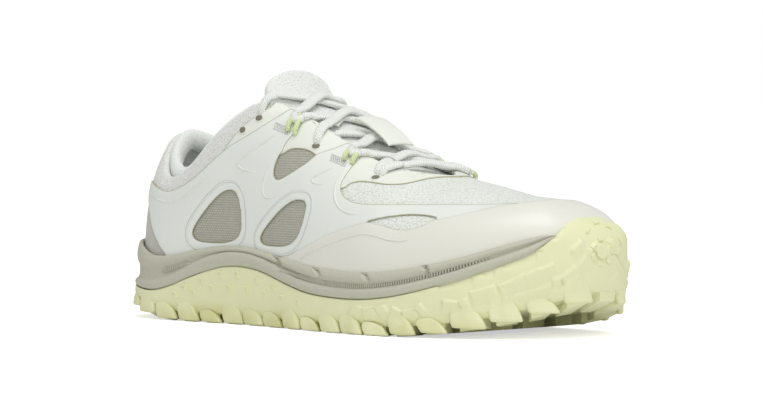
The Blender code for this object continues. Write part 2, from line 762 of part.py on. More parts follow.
def panel_foot(u):
    """Share t just above the sole's lip, or above the toe guard's edge."""
    step = 1 / TOE_STEPS
    if any(guarded(v) for v in (u - step, u, u + step)):
        edge = max(st_u.sole("rubber") for st_u in (station(u - step), station(u), station(u + step)))
        return share_at_height(u, max(edge, station(u).sole("lip")) + 2 * TOE_GUARD_LIFT)
    return share_at_height(u, station(u).sole("lip") + 2 * GAP)


def places_between(first, last):
    """The u of the two ends and of every station between them."""
    inner = [u for u in around() if first + 0.01 < u < last - 0.01]
    return [first] + inner + [last]


def add_film(solid, places, foot, head, rows, lift=PANEL_LIFT):
    """Film on the upper from share foot(u) to share head(u), following the upper's face.

    Where it runs over the crest the two sides share their last row and need no edge there.
    """
    outer, inner = [], []
    for u in places:
        shares = [mix(foot(u), head(u), i / rows) for i in range(rows + 1)]
        outer.append([offset_point(u, t, lift + PANEL_THICKNESS) for t in shares])
        inner.append([offset_point(u, t, lift) for t in shares])
    solid.skin(outer)
    solid.skin(inner)
    for end in (0, -1):
        solid.skin([outer[end], inner[end]])
    for i in range(len(places) - 1):
        over_crest = min(head(places[i]), head(places[i + 1])) == 1
        for edge in (0,) if over_crest else (0, -1):
            solid.skin([[outer[i][edge], inner[i][edge]], [outer[i + 1][edge], inner[i + 1][edge]]])


# Heights of the films on the upper: shares t of the wall's section along the shoe
FILM = Table(("at", "counter", "side", "rand"), [
    (0.000, 0.46, 0.46, 0.10),
    (0.131, 0.34, 0.46, 0.10),
    (0.195, 0.26, 0.60, 0.10),
    (0.260, 0.24, 0.74, 0.10),
    (0.340, 0.24, 0.76, 0.10),
    (0.420, 0.24, 0.74, 0.10),
    (0.480, 0.24, 0.72, 0.13),
    (0.540, 0.24, 0.72, 0.26),
    (0.620, 0.24, 0.72, 0.33),
    (0.700, 0.24, 0.72, 0.38),
    (0.810, 0.24, 0.72, 0.42),
    (0.880, 0.24, 0.72, 0.50),
    (1.000, 0.24, 0.72, 0.62),
])
SIDE_FILM_AT = (0.195, 0.525)
RAND_STARTS_AT = 0.532
RAND_LEAST = 0.05
EYESTAY_AT = (0.300, 0.742)
EYESTAY_FOOT = 0.80
EYESTAY_HEAD = 0.965
FILM_GAP = 0.0012

# Windows in the side film: middle along the shoe, middle height, half length, half height,
# lean of the window towards the toe, and pinch of its top. Lengths are shares of LENGTH,
# and heights shares of the way from STACK_HEIGHT up to INSTEP_HEIGHT.
WINDOWS = (
    ("rear", 0.282, 0.196, 0.066, 0.163, 0.45, 0.35),
    ("front", 0.446, 0.170, 0.053, 0.137, 0.75, 0.50),
)


def make_window_cutter(name, middle, height, half_length, half_height, lean, pinch, side):
    """Rounded window shape pushed sideways through one wall of the upper."""
    solid = Solid("window_%s_%d" % (name, side), (0.5, 0.5, 0.5), 0.5)
    near, far = [], []
    rise = INSTEP_HEIGHT - STACK_HEIGHT
    for i in range(16):
        angle = math.tau * i / 16
        c, s = math.cos(angle), math.sin(angle)
        c, s = math.copysign(abs(c) ** 0.7, c), math.copysign(abs(s) ** 0.7, s)
        width = half_length * mix(1, pinch, (s + 1) / 2)
        x = along(middle + width * c) + lean * half_height * s * rise
        z = STACK_HEIGHT + (height + half_height * s) * rise
        near.append(Vector((x, side * THROAT_HALF, z)))
        far.append(Vector((x, side * BALL_MEDIAL * 1.2, z)))
    solid.skin([near, far], closed=True)
    solid.face(near)
    solid.face(far)
    return solid.finish()


def make_side_film(side):
    name = "side_film_" + ("lateral" if side < 0 else "medial")
    ends = sorted(side_u(along(at), side) for at in SIDE_FILM_AT)
    solid = Solid(name, (0.90, 0.93, 0.90), 0.45)
    add_film(solid, places_between(*ends), panel_foot, lambda u: FILM("side", station(u).at), 5)
    film = solid.finish()
    for window in WINDOWS:
        boolean(film, make_window_cutter(*window, side), "DIFFERENCE")


def make_heel_counter():
    """Film round the back of the upper, between the two side films."""
    end = along(SIDE_FILM_AT[0]) - FILM_GAP
    places = places_between(side_u(end, 1), 4)[:-1]
    places += [u + 4 for u in places_between(0, side_u(end, -1))]
    solid = Solid("heel_counter", (0.84, 0.85, 0.82), 0.6)
    add_film(solid, places, panel_foot, lambda u: FILM("counter", station(u).at), 4)
    solid.finish()


def make_toe_rand():
    """Film round the front of the upper, in line with the toe guard."""
    ends = [side_u(along(RAND_STARTS_AT), side) for side in (-1, 1)]
    solid = Solid("toe_rand", (0.86, 0.87, 0.82), 0.5)
    add_film(solid, places_between(*ends), panel_foot,
             lambda u: max(FILM("rand", station(u).at), panel_foot(u) + RAND_LEAST), 4, TOE_GUARD_LIFT)
    solid.finish()


def make_eyestay():
    """Cream band along both edges of the throat and across its end."""
    solid = Solid("eyestay", (0.90, 0.90, 0.83), 0.6)
    for side in (-1, 1):
        ends = sorted(side_u(along(at), side) for at in EYESTAY_AT)
        add_film(solid, places_between(*ends), lambda u: EYESTAY_FOOT,
                 lambda u: EYESTAY_HEAD if station(u).edge_half() > 0 else 1, 2)
    solid.finish()


# Rows of lacing: place along the shoe and distance from the spine, lateral then medial,
# as shares of LENGTH and THROAT_HALF, and whether the lateral row has a cord loop.
LACE_ROWS = (
    (0.348, 1.30, 0.365, 1.16, False),
    (0.422, 1.14, 0.436, 1.12, True),
    (0.479, 1.30, 0.507, 1.12, False),
    (0.546, 1.14, 0.578, 1.12, True),
    (0.617, 1.26, 0.649, 1.06, False),
)
LACE_LIFT = PANEL_LIFT + PANEL_THICKNESS + 3 * GAP
LACE_PINCH = 0.62
CROSS_STEPS = 8


def lace_end(row, side):
    at, out = (LACE_ROWS[row][0], LACE_ROWS[row][1]) if side < 0 else LACE_ROWS[row][2:4]
    return along(at), side * out * THROAT_HALF


def add_strip(solid, start, end, lift):
    """Flat oval strip of lace over the throat between two places in plan."""
    rings = []
    for i in range(CROSS_STEPS + 1):
        share = i / CROSS_STEPS
        middle, ahead = [
            throat_point(mix(start[0], end[0], f), mix(start[1], end[1], f), lift)
            for f in (share, share + 0.02)]
        up = throat_point(mix(start[0], end[0], share), mix(start[1], end[1], share), 2 * lift)
        up = (up - middle).normalized()
        out = (ahead - middle).cross(up).normalized()
        wide = LACE_WIDTH / 2 * mix(LACE_PINCH, 1, smooth(min(share, 1 - share) * 5))
        ring = []
        for across, rise in ((-1, 0.5), (-0.7, 0.0), (0.7, 0.0), (1, 0.5), (0.6, 1.0), (-0.6, 1.0)):
            ring.append(middle + out * across * wide + up * rise * LACE_THICKNESS)
        rings.append(ring)
    solid.skin(rings, closed=True)
    solid.face(rings[0])
    solid.face(rings[-1])


def make_laces():
    """One lace: two runs that cross at every row, joined where they meet."""
    strips = []
    for k in range(len(LACE_ROWS) - 1):
        strips.append((lace_end(k, -1), lace_end(k + 1, 1), 0.0))
        strips.append((lace_end(k, 1), lace_end(k + 1, -1), LACE_THICKNESS * 0.45))
    last = len(LACE_ROWS) - 1
    strips.append((lace_end(last, -1), lace_end(last, 1), LACE_THICKNESS * 0.2))
    lace = None
    for i, (start, end, step) in enumerate(strips):
        solid = Solid("laces" if i == 0 else "lace_strip_%d" % i, (0.85, 0.90, 0.86), 0.8)
        add_strip(solid, start, end, LACE_LIFT + step)
        piece = solid.finish()
        if lace is None:
            lace = piece
        else:
            boolean(lace, piece, "UNION")


LOOP_ARCH = ((-1.0, 0.0), (-0.85, 0.65), (0.0, 1.0), (0.85, 0.65), (1.0, 0.0))
LOOP_SIDES = 5
LOOP_HALF = 0.0042
LOOP_HEIGHT = 0.0030
LOOP_LEAN = 0.12


def make_lace_loop(name, row, side):
    """Round cord that stands out of the eyestay and holds the lace's bend."""
    x, across = lace_end(row, side)
    across = across * 0.96
    solid = Solid(name, (0.80, 0.88, 0.55), 0.7)
    foot = PANEL_LIFT + PANEL_THICKNESS + GAP + LOOP_DIAMETER / 2
    path = []
    for run, rise in LOOP_ARCH:
        inward = across * (1 - LOOP_LEAN * rise)
        path.append(throat_point(x + run * LOOP_HALF, inward, foot + rise * LOOP_HEIGHT))
    rings = []
    for i, point in enumerate(path):
        run = (path[min(len(path) - 1, i + 1)] - path[max(0, i - 1)]).normalized()
        out = run.cross(Vector((0, 1, 0))).normalized()
        aside = run.cross(out)
        ring = []
        for k in range(LOOP_SIDES):
            angle = math.tau * k / LOOP_SIDES
            ring.append(point + (out * math.cos(angle) + aside * math.sin(angle)) * LOOP_DIAMETER / 2)
        rings.append(ring)
    solid.skin(rings, closed=True)
    solid.face(rings[0])
    solid.face(rings[-1])
    solid.finish()


def make_loops():
    for row, (_, _, _, _, looped) in enumerate(LACE_ROWS):
        if looped:
            make_lace_loop("lace_loop_lateral_%d" % (row + 1), row, -1)
        make_lace_loop("lace_loop_medial_%d" % (row + 1), row, 1)


KEEPER_AT = 0.529
KEEPER_STEPS = 5
KEEPER_COLUMNS = 2


def make_keeper():
    """Strap along the middle of the tongue, over the laces, which it holds down."""
    solid = Solid("lace_keeper", (0.90, 0.92, 0.90), 0.6)
    lift = LACE_LIFT + LACE_THICKNESS * 1.45 + 2 * GAP
    low, high = [], []
    for i in range(KEEPER_STEPS + 1):
        x = along(KEEPER_AT) + (i / KEEPER_STEPS - 0.5) * KEEPER_LENGTH
        row = [KEEPER_HALF * k / KEEPER_COLUMNS for k in range(-KEEPER_COLUMNS, KEEPER_COLUMNS + 1)]
        low.append([throat_point(x, across, lift) for across in row])
        high.append([throat_point(x, across, lift + LACE_THICKNESS) for across in row])
    solid.skin(low)
    solid.skin(high)
    for k in (0, -1):
        solid.skin([low[k], high[k]])
        solid.skin([[row[k] for row in low], [row[k] for row in high]])
    solid.finish()


PARTS, CUTTERS = start_scene()
make_outsole()
make_midsole()
make_insole()
make_upper()
make_tongue()
make_heel_counter()
make_toe_rand()
for side in (-1, 1):
    make_side_film(side)
make_eyestay()
make_laces()
make_loops()
make_keeper()
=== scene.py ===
"""Looks of a low trail shoe: soft textile base, pressed films, foam and rubber sole, laces.

Metres, +X to the toe, +Y to the medial side, +Z up, the floor at Z = 0.
"""
import math

import bmesh
import bpy
import numpy as np
from mathutils import Matrix, Vector
from mathutils.bvhtree import BVHTree


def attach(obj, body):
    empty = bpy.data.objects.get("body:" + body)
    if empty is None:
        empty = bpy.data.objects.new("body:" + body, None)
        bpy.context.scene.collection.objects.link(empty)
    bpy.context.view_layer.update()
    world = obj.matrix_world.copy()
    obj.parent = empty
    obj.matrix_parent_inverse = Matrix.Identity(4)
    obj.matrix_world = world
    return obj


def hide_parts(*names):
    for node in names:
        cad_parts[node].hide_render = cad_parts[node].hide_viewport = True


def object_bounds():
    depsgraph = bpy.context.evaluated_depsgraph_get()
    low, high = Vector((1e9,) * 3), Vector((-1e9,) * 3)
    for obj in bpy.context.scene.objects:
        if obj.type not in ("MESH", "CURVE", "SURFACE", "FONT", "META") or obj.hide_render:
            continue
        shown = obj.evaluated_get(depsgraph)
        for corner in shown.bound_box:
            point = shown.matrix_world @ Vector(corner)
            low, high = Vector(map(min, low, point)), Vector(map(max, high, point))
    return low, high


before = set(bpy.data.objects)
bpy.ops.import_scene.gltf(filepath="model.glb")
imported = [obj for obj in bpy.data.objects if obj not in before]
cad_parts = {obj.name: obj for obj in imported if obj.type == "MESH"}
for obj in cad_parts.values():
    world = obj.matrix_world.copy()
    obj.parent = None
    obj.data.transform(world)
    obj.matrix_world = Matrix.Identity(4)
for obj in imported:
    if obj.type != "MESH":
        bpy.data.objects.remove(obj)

cad_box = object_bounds()

# Camera. The photograph was taken from 2 m away, 44 degrees round from the lateral side
# and 2 degrees up, with a long lens. Spots on the shoe are named by the photograph's pixels.
VIEW_TURN = math.radians(44)
VIEW_RISE = math.radians(2)
VIEW_DISTANCE = 2.0
FOCAL_PX = 4309.4
FRAME_WIDE_PX = 763
SENSOR_MM = 36
AIM = Vector((0, 0, 0.050))
AIM_PX = (292.5, 211.66)
SHOE_CENTRE_PX = (310.0, 196.0)
MM_PER_PX = 0.475

back = Vector((math.sin(VIEW_TURN) * math.cos(VIEW_RISE),
               -math.cos(VIEW_TURN) * math.cos(VIEW_RISE), math.sin(VIEW_RISE)))
right = Vector((math.cos(VIEW_TURN), math.sin(VIEW_TURN), 0))
up = back.cross(right)
eye = AIM + back * VIEW_DISTANCE
scale_at_aim = VIEW_DISTANCE / FOCAL_PX
shoe_aim = AIM + right * (SHOE_CENTRE_PX[0] - AIM_PX[0]) * scale_at_aim
shoe_aim -= up * (SHOE_CENTRE_PX[1] - AIM_PX[1]) * scale_at_aim

camera_data = bpy.data.cameras.new("camera")
camera_data.sensor_width = SENSOR_MM
camera_data.lens = FOCAL_PX / FRAME_WIDE_PX * SENSOR_MM
camera_data.clip_end = 20
camera = bpy.data.objects.new("camera", camera_data)
camera.matrix_world = Matrix.Translation(shoe_aim + back * VIEW_DISTANCE) @ Matrix(
    (right, up, back)).transposed().to_4x4()
bpy.context.scene.collection.objects.link(camera)
bpy.context.scene.camera = camera

# Floor and studio light: a seamless white floor and white walls all round, a big soft box
# above the toe and a smaller one in front, so that heel and sole fall into soft shade.
FLOOR_SIZE = 6.0
LIGHTS = (
    # name, place, size, power
    ("top_box", (0.45, -0.25, 1.5), 1.1, 12),
    ("front_box", (1.5, -0.9, 0.8), 0.9, 4.5),
)
ROOM_LIGHT = 0.52
FLOOR_GLOW = 0.55


class Paint:
    """A material while it is put together: nodes, with values and links for their sockets."""

    def __init__(self, owner, shader="Principled BSDF"):
        owner.use_nodes = True
        self.owner, self.tree = owner, owner.node_tree
        self.shader = self.tree.nodes[shader]

    def put(self, node, socket, value):
        """Links a socket, or sets it to a number or a colour."""
        if isinstance(value, bpy.types.NodeSocket):
            self.tree.links.new(value, node.inputs[socket])
        else:
            node.inputs[socket].default_value = (*value, 1) if isinstance(value, tuple) else value

    def node(self, kind, **values):
        made = self.tree.nodes.new("ShaderNode" + kind)
        for name, value in values.items():
            self.put(made, name.replace("_", " "), value)
        return made

    def shade(self, **values):
        """Gives the shader, or a group's output, its values and links."""
        for name, value in values.items():
            self.put(self.shader, name.replace("_", " "), value)

    def math(self, operation, *values):
        made = self.node("Math")
        made.operation = operation
        for i, value in enumerate(values):
            self.put(made, i, value)
        return made.outputs[0]


def finish_mesh(bm, name, paint, smooth=True):
    mesh = bpy.data.meshes.new(name)
    bm.to_mesh(mesh)
    bm.free()
    if smooth:
        mesh.shade_smooth()
    mesh.materials.append(paint.owner)
    piece = bpy.data.objects.new(name, mesh)
    bpy.context.scene.collection.objects.link(piece)
    return piece


floor_paint = Paint(bpy.data.materials.new("studio_white"))
seen = floor_paint.node("LightPath").outputs["Is Camera Ray"]
floor_paint.shade(Base_Color=(0.95, 0.95, 0.95), Roughness=0.9, Emission_Color=(1.0, 1.0, 1.0),
                  Emission_Strength=floor_paint.math("MULTIPLY", seen, FLOOR_GLOW))
bm = bmesh.new()
bmesh.ops.create_grid(bm, x_segments=1, y_segments=1, size=FLOOR_SIZE / 2)
floor = finish_mesh(bm, "floor", floor_paint, smooth=False)

world = Paint(bpy.data.worlds.new("studio"), "Background")
seen = world.node("LightPath").outputs["Is Camera Ray"]
brightness = world.node("MapRange", Value=seen, To_Min=ROOM_LIGHT, To_Max=1.0)
world.shade(Color=(1.0, 1.0, 1.0), Strength=brightness.outputs["Result"])
bpy.context.scene.world = world.owner
bpy.context.scene.view_settings.view_transform = "Standard"
for name, place, size, power in LIGHTS:
    lamp = bpy.data.lights.new(name, "AREA")
    lamp.size = size
    lamp.energy = power
    light = bpy.data.objects.new(name, lamp)
    light.location = place
    light.rotation_euler = (AIM - Vector(place)).to_track_quat("-Z", "Y").to_euler()
    bpy.context.scene.collection.objects.link(light)

# Textile base: one knitted shell in the upper's own form, with a soft lining inside and a
# padded roll at the mouth. It shows at the collar, in the film's windows and over the toes.
LENGTH = cad_box[1][0] - cad_box[0][0]
SPINE_OFFSET = 0.005
SPINE_BENDS_AT = 0.32
SPINE_BEND = 0.5
SPINE_ENDS = (-0.104, 0.093)
SPINE_Z = 0.04
BASE_LEVELS = 3
PALE_KNIT = (0.80, 0.81, 0.765)
LINING = (0.84, 0.87, 0.83)
MESH_WHITE = (0.83, 0.86, 0.80)
WINDOW_GREY = (0.47, 0.46, 0.385)
WEAVE_ROWS = 900
HEEL_GREY = (0.56, 0.55, 0.49)
UNDER_FILM_MM = 3
UNDER_HEEL_MM = 1
TOE_MESH_PX = 262


def dim(colour, share):
    """The colour, darker or lighter by a share."""
    return tuple(c * share for c in colour)


def smooth(share):
    return share * share * (3 - 2 * share)


def spine_y(x):
    return SPINE_OFFSET * smooth(np.clip((x / LENGTH + 0.5 - SPINE_BENDS_AT) / SPINE_BEND, 0, 1))


def cad_cage(node):
    """The node's faces as quads, with its loose triangles merged."""
    cage = bmesh.new()
    cage.from_mesh(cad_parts[node].data)
    bmesh.ops.remove_doubles(cage, verts=cage.verts, dist=1e-5)
    bmesh.ops.join_triangles(cage, faces=cage.faces, angle_face_threshold=math.radians(50),
                             angle_shape_threshold=math.radians(60))
    return cage


def baked(piece):
    """Applies a piece's modifiers to its mesh."""
    view = bpy.context.evaluated_depsgraph_get()
    view.update()
    mesh = bpy.data.meshes.new_from_object(piece.evaluated_get(view))
    piece.modifiers.clear()
    old = piece.data
    piece.data = mesh
    bpy.data.meshes.remove(old)
    return piece


def rounder(piece, levels):
    modifier = piece.modifiers.new("rounder", "SUBSURF")
    modifier.levels = levels
    modifier.render_levels = levels
    return baked(piece)


def per_vertex(piece, kind="co"):
    """Places or normals of a piece's vertices, one row each."""
    values = np.empty(len(piece.data.vertices) * 3)
    piece.data.vertices.foreach_get(kind, values)
    return values.reshape(-1, 3)


def store(piece, name, values):
    """Keeps a value for every vertex, or one value for them all, as an attribute."""
    values = np.zeros(len(piece.data.vertices)) + values
    piece.data.attributes.new(name, "FLOAT", "POINT").data.foreach_set("value", values.astype(np.float32))


def on_lateral(points):
    """The same points on the lateral side: medial ones are mirrored in the spine."""
    mirrored = points.copy()
    spine = spine_y(points[:, 0])
    far = points[:, 1] > spine
    mirrored[far, 1] = 2 * spine[far] - points[far, 1]
    return mirrored


def photo_px(points):
    """Pixels of the photograph where points of the lateral side show."""
    ray = points - np.array(eye)
    depth = -(ray @ np.array(back))
    x = AIM_PX[0] + FOCAL_PX * (ray @ np.array(right)) / depth
    y = AIM_PX[1] - FOCAL_PX * (ray @ np.array(up)) / depth
    return np.stack([x, y], 1)


def rounded(points, closed=True, rounds=2):
    """Cuts the corners of a line of points until it is a soft curve."""
    for _ in range(rounds):
        pairs = list(zip(points, points[1:] + points[:1] if closed else points[1:]))
        softer = [] if closed else [points[0]]
        for a, b in pairs:
            softer.append(tuple(p * 0.75 + q * 0.25 for p, q in zip(a, b)))
            softer.append(tuple(p * 0.25 + q * 0.75 for p, q in zip(a, b)))
        points = softer if closed else softer + [points[-1]]
    return points


def inside(spots, outline):
    """Distance of each spot from a closed outline, positive inside it."""
    x, y = spots[:, 0], spots[:, 1]
    nearest = np.full(len(spots), 1e9)
    within = np.zeros(len(spots), bool)
    for (x0, y0), (x1, y1) in zip(outline, outline[1:] + outline[:1]):
        dx, dy = x1 - x0, y1 - y0
        share = np.clip(((x - x0) * dx + (y - y0) * dy) / (dx * dx + dy * dy + 1e-12), 0, 1)
        nearest = np.minimum(nearest, np.hypot(x - x0 - share * dx, y - y0 - share * dy))
        if dy:
            within ^= ((y0 > y) != (y1 > y)) & (x < dx * (y - y0) / dy + x0)
    return np.where(within, nearest, -nearest)


class PatternPaint(Paint):
    """A paint whose colour and surface change from place to place."""

    def ramp(self, value, low, high, out_low=0.0, out_high=1.0):
        made = self.node("MapRange", Value=value, From_Min=low, From_Max=high,
                         To_Min=out_low, To_Max=out_high)
        made.interpolation_type = "SMOOTHSTEP"
        return made.outputs["Result"]

    def blend(self, share, a, b, kind="RGBA"):
        made = self.node("Mix")
        made.data_type = kind
        first, result = {"FLOAT": (2, 0), "RGBA": (6, 2)}[kind]
        for socket, value in ((0, share), (first, a), (first + 1, b)):
            self.put(made, socket, value)
        return made.outputs[result]

    def bump(self, height, distance, strength):
        return self.node("Bump", Height=height, Distance=distance, Strength=strength).outputs["Normal"]

    def read(self, attribute):
        made = self.node("Attribute")
        made.attribute_name = attribute
        return made.outputs["Fac"]

    def place(self):
        return self.node("TexCoord").outputs["Object"]

    def use(self, group, **values):
        made = self.node("Group")
        made.node_tree = group.tree
        for name, value in values.items():
            self.put(made, name, value)
        return made.outputs


def new_paint(name):
    return PatternPaint(bpy.data.materials.new(name))


textile = new_paint("textile")
base = rounder(finish_mesh(cad_cage("upper"), "textile_base", textile), BASE_LEVELS)
base_points = per_vertex(base)
lateral = on_lateral(base_points)
spots = photo_px(lateral)
outward = base_points - np.stack([np.clip(base_points[:, 0], *SPINE_ENDS), spine_y(base_points[:, 0]),
                                  np.full(len(base_points), SPINE_Z)], 1)
facing = np.einsum("ij,ij->i", outward, per_vertex(base, "normal")) / np.linalg.norm(outward, axis=1)

# Outlines on the lateral side, in the photograph's pixels, named by what they bound.
FILM_TOP_PX = [
    (30, 169), (79, 171), (83, 179), (89, 184), (96, 186), (104, 184), (114, 179), (127, 169), (138, 158),
    (148, 149), (160, 139), (174, 131), (195, 118), (208, 110), (216, 105), (221, 103), (233, 113),
    (231, 119), (219, 132), (212, 142), (212, 152), (232, 155), (246, 148), (262, 143), (272, 139),
    (277, 137), (292, 145), (290, 150), (277, 166), (270, 178), (270, 186), (274, 192), (282, 196.5),
    (295, 198.5), (320, 198.6), (360, 198.6), (403, 198.6), (429, 198), (450, 197), (485, 194.5),
    (520, 190), (700, 190), (700, 420), (30, 420)]
CREAM_PX = [
    (136, 172), (140, 166), (151, 146), (163, 129), (176, 116), (190, 106), (203, 99), (206, 80), (300, 60),
    (420, 120), (520, 150), (420, 166), (408, 171.5), (393, 170.5), (375, 170.5), (358, 171.8), (345, 175),
    (332, 177.8), (316, 178.4), (300, 175.8), (291, 174.8), (284, 175.6), (278, 177.6), (274, 182),
    (262, 183), (252, 168), (247, 150), (236, 142.6), (220, 141.6), (212, 148), (200, 150), (180, 150),
    (160, 160)]
RAND_PX = [
    (196, 262), (207, 256), (219, 249), (241, 237), (256, 229), (272, 223), (287, 218.3), (300, 215.4),
    (320, 214.5), (345, 215.2), (366, 214.6), (383, 210.8), (403, 206.3), (426, 201.2), (449, 197.9),
    (470, 195.6), (490, 193), (540, 186), (700, 186), (700, 420), (196, 420)]
SMALL_WINDOW_PX = [
    (294, 216), (301, 213.6), (310, 211.6), (322, 209.7), (337, 208.3), (352, 208.4), (362, 210), (368, 212),
    (362, 215.5), (352, 220.5), (342, 223.9), (332, 224.6), (321, 223), (309, 219)]
UPPER_WINDOW_PX = [
    (203, 171), (203, 163), (206, 154), (210, 146), (219, 140.5), (230, 141), (240, 143.2), (247, 146.5),
    (243, 151), (236, 157), (225, 164), (214, 171), (207, 174.5)]
# The two side windows as the film's solid has them, in millimetres
SIDE_WINDOWS_MM = (
    # middle x, middle z, half length, half height, lean, pinch
    (-61.8, 50.0, 20.6, 12.6, 0.45, 0.33),
    (-14.6, 48.2, 17.2, 10.9, 0.75, 0.45),
)
HEEL_PANEL_MM = [
    (-99, 20), (-99.5, 30), (-104, 33.5), (-111, 41), (-117, 50), (-123, 57), (-130, 60), (-150, 61),
    (-150, 20)]


def round_points(count):
    """Cosine and sine of angles spaced round a full turn."""
    return [(math.cos(math.tau * i / count), math.sin(math.tau * i / count)) for i in range(count)]


def window_outline(x, z, half_length, half_height, lean, pinch):
    """Rounded leaning window, as the side film's solid has it."""
    outline = []
    for c, s in round_points(48):
        c, s = math.copysign(abs(c) ** 0.7, c), math.copysign(abs(s) ** 0.7, s)
        wide = half_length * (1 + (pinch - 1) * (s + 1) / 2)
        outline.append((x + wide * c + lean * half_height * s, z + half_height * s))
    return outline


side_mm = lateral[:, [0, 2]] * 1000
side_windows = np.max([inside(side_mm, window_outline(*window)) for window in SIDE_WINDOWS_MM], axis=0)
upper_window, small_window, film_top, cream_zone, rand_zone = (
    inside(spots, rounded(outline)) * MM_PER_PX
    for outline in (UPPER_WINDOW_PX, SMALL_WINDOW_PX, FILM_TOP_PX, CREAM_PX, RAND_PX))
heel_panel = inside(side_mm, rounded(HEEL_PANEL_MM))
film_zone = np.min([film_top, -side_windows, -upper_window, -small_window, -heel_panel], axis=0)
rand_zone = np.minimum(rand_zone, -small_window)

store(base, "grey_zone", np.maximum(side_windows, upper_window) + UNDER_FILM_MM)
store(base, "heel_zone", heel_panel + UNDER_HEEL_MM)
store(base, "toe_zone", spots[:, 0] - TOE_MESH_PX)
store(base, "outer", facing)


class Group(PatternPaint):
    """A node group with inputs of named kinds, and outputs that are numbers."""

    def __init__(self, name, inputs, outputs):
        self.tree = bpy.data.node_groups.new(name, "ShaderNodeTree")
        for socket, kind in inputs.items():
            self.tree.interface.new_socket(socket, in_out="INPUT", socket_type="NodeSocket" + kind)
        for socket in outputs:
            self.tree.interface.new_socket(socket, in_out="OUTPUT", socket_type="NodeSocketFloat")
        self.given = self.tree.nodes.new("NodeGroupInput").outputs
        self.shader = self.tree.nodes.new("NodeGroupOutput")


# Knit: rows of small stitches with dark pinholes between them
knit = Group("knit", {"Place": "Vector", "Pitch": "Float"}, ("Height", "Hole"))
cells = knit.node("TexVoronoi", Vector=knit.given["Place"], Scale=knit.given["Pitch"], Randomness=0.65)
distance = cells.outputs["Distance"]
knit.shade(Height=knit.ramp(distance, 0.1, 0.75, 1, 0), Hole=knit.ramp(distance, 0.52, 0.72))

# Weave: fine level rows, each a string of short dashes that step from row to row
weave = Group("weave", {"Place": "Vector"}, ("Dash",))
split = weave.node("SeparateXYZ", Vector=weave.given["Place"]).outputs
rows = weave.node("CombineXYZ", X=weave.math("MULTIPLY", split["X"], WEAVE_ROWS),
                  Y=weave.math("MULTIPLY", split["Z"], WEAVE_ROWS))
bricks = weave.node("TexBrick", Vector=rows.outputs[0], Color1=(1.0, 1.0, 1.0), Color2=(0.75, 0.75, 0.75),
                    Mortar=(0.0, 0.0, 0.0), Scale=1.0, Mortar_Size=0.16, Mortar_Smooth=0.8, Bias=0.0,
                    Brick_Width=1.5, Row_Height=1.0)
bricks.offset = 0.5
weave.shade(Dash=bricks.outputs["Color"])

place = textile.place()
fine = textile.use(knit, Place=place, Pitch=1050.0)
dash = textile.use(weave, Place=place)["Dash"]
toe_share, heel_share, grey_share, outer_share = (
    textile.ramp(textile.read(zone), low, high)
    for zone, low, high in (("toe_zone", -3, 3), ("heel_zone", 0.0, 0.4), ("grey_zone", 0.0, 0.4),
                            ("outer", -0.15, 0.15)))
knit_colour, toe_colour, lining_colour = (
    textile.blend(fine["Hole"], colour, dim(colour, dark))
    for colour, dark in ((PALE_KNIT, 0.80), (MESH_WHITE, 0.76), (LINING, 0.9)))
grey_colour = textile.blend(dash, dim(WINDOW_GREY, 0.62), dim(WINDOW_GREY, 1.08))
colour = textile.blend(toe_share, knit_colour, toe_colour)
colour = textile.blend(heel_share, colour, HEEL_GREY)
colour = textile.blend(grey_share, colour, grey_colour)
height = textile.blend(grey_share, fine["Height"], dash, "FLOAT")
textile.shade(Base_Color=textile.blend(outer_share, lining_colour, colour), Roughness=0.85,
              Normal=textile.bump(height, 0.0003, 0.7), Sheen_Weight=0.25)
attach(base, "root")
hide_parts("upper")

# Collar roll: the padded lining, folded over foam, that swells inside the mouth's edge from
# one side of the throat round the heel to the other.
ROLL_CENTRE = (-0.088, 0.0)
ROLL_BINS = 40
ROLL_THICK = 0.0074
ROLL_INSET = 0.0034
ROLL_DROP = 0.0030
ROLL_FIRST_X = -0.046
ABOVE = Vector((0, 0, 1))


def sweep(bm, path, ups, wide, thick, sides=12):
    """A closed strand of oval section along a path, with its length and turn stored.

    Its width and thickness are given for each place, or as one number for them all.
    """
    wide, thick = ([size] * len(path) if isinstance(size, float) else size for size in (wide, thick))
    along_layer = bm.verts.layers.float.get("along") or bm.verts.layers.float.new("along")
    across_layer = bm.verts.layers.float.get("across") or bm.verts.layers.float.new("across")
    rings, travelled = [], 0.0
    for i, place in enumerate(path):
        run = (path[min(len(path) - 1, i + 1)] - path[max(0, i - 1)]).normalized()
        out = run.cross(ups[i]).normalized()
        rise = out.cross(run)
        turn = Matrix((out * wide[i] / 2, rise * thick[i] / 2, run)).transposed().to_4x4()
        ring = bmesh.ops.create_circle(bm, segments=sides, radius=1,
                                       matrix=Matrix.Translation(place) @ turn)["verts"]
        travelled += (place - path[max(0, i - 1)]).length
        for vert in ring:
            vert[along_layer] = travelled
            vert[across_layer] = (vert.co - place).dot(out)
        rings.append(ring)
    for low, high in zip(rings, rings[1:]):
        for k in range(sides):
            bm.faces.new((low[k], low[(k + 1) % sides], high[(k + 1) % sides], high[k]))
    bm.faces.new(reversed(rings[0]))
    bm.faces.new(rings[-1])


def knit_paint(name, colour, pitch, holes, depth, roughness):
    """Knitted cloth in one colour, darker in its pinholes."""
    paint = new_paint(name)
    fine = paint.use(knit, Place=paint.place(), Pitch=pitch)
    paint.shade(Base_Color=paint.blend(fine["Hole"], colour, dim(colour, holes)), Roughness=roughness,
                Normal=paint.bump(fine["Height"], depth, 0.6), Sheen_Weight=0.3)
    return paint


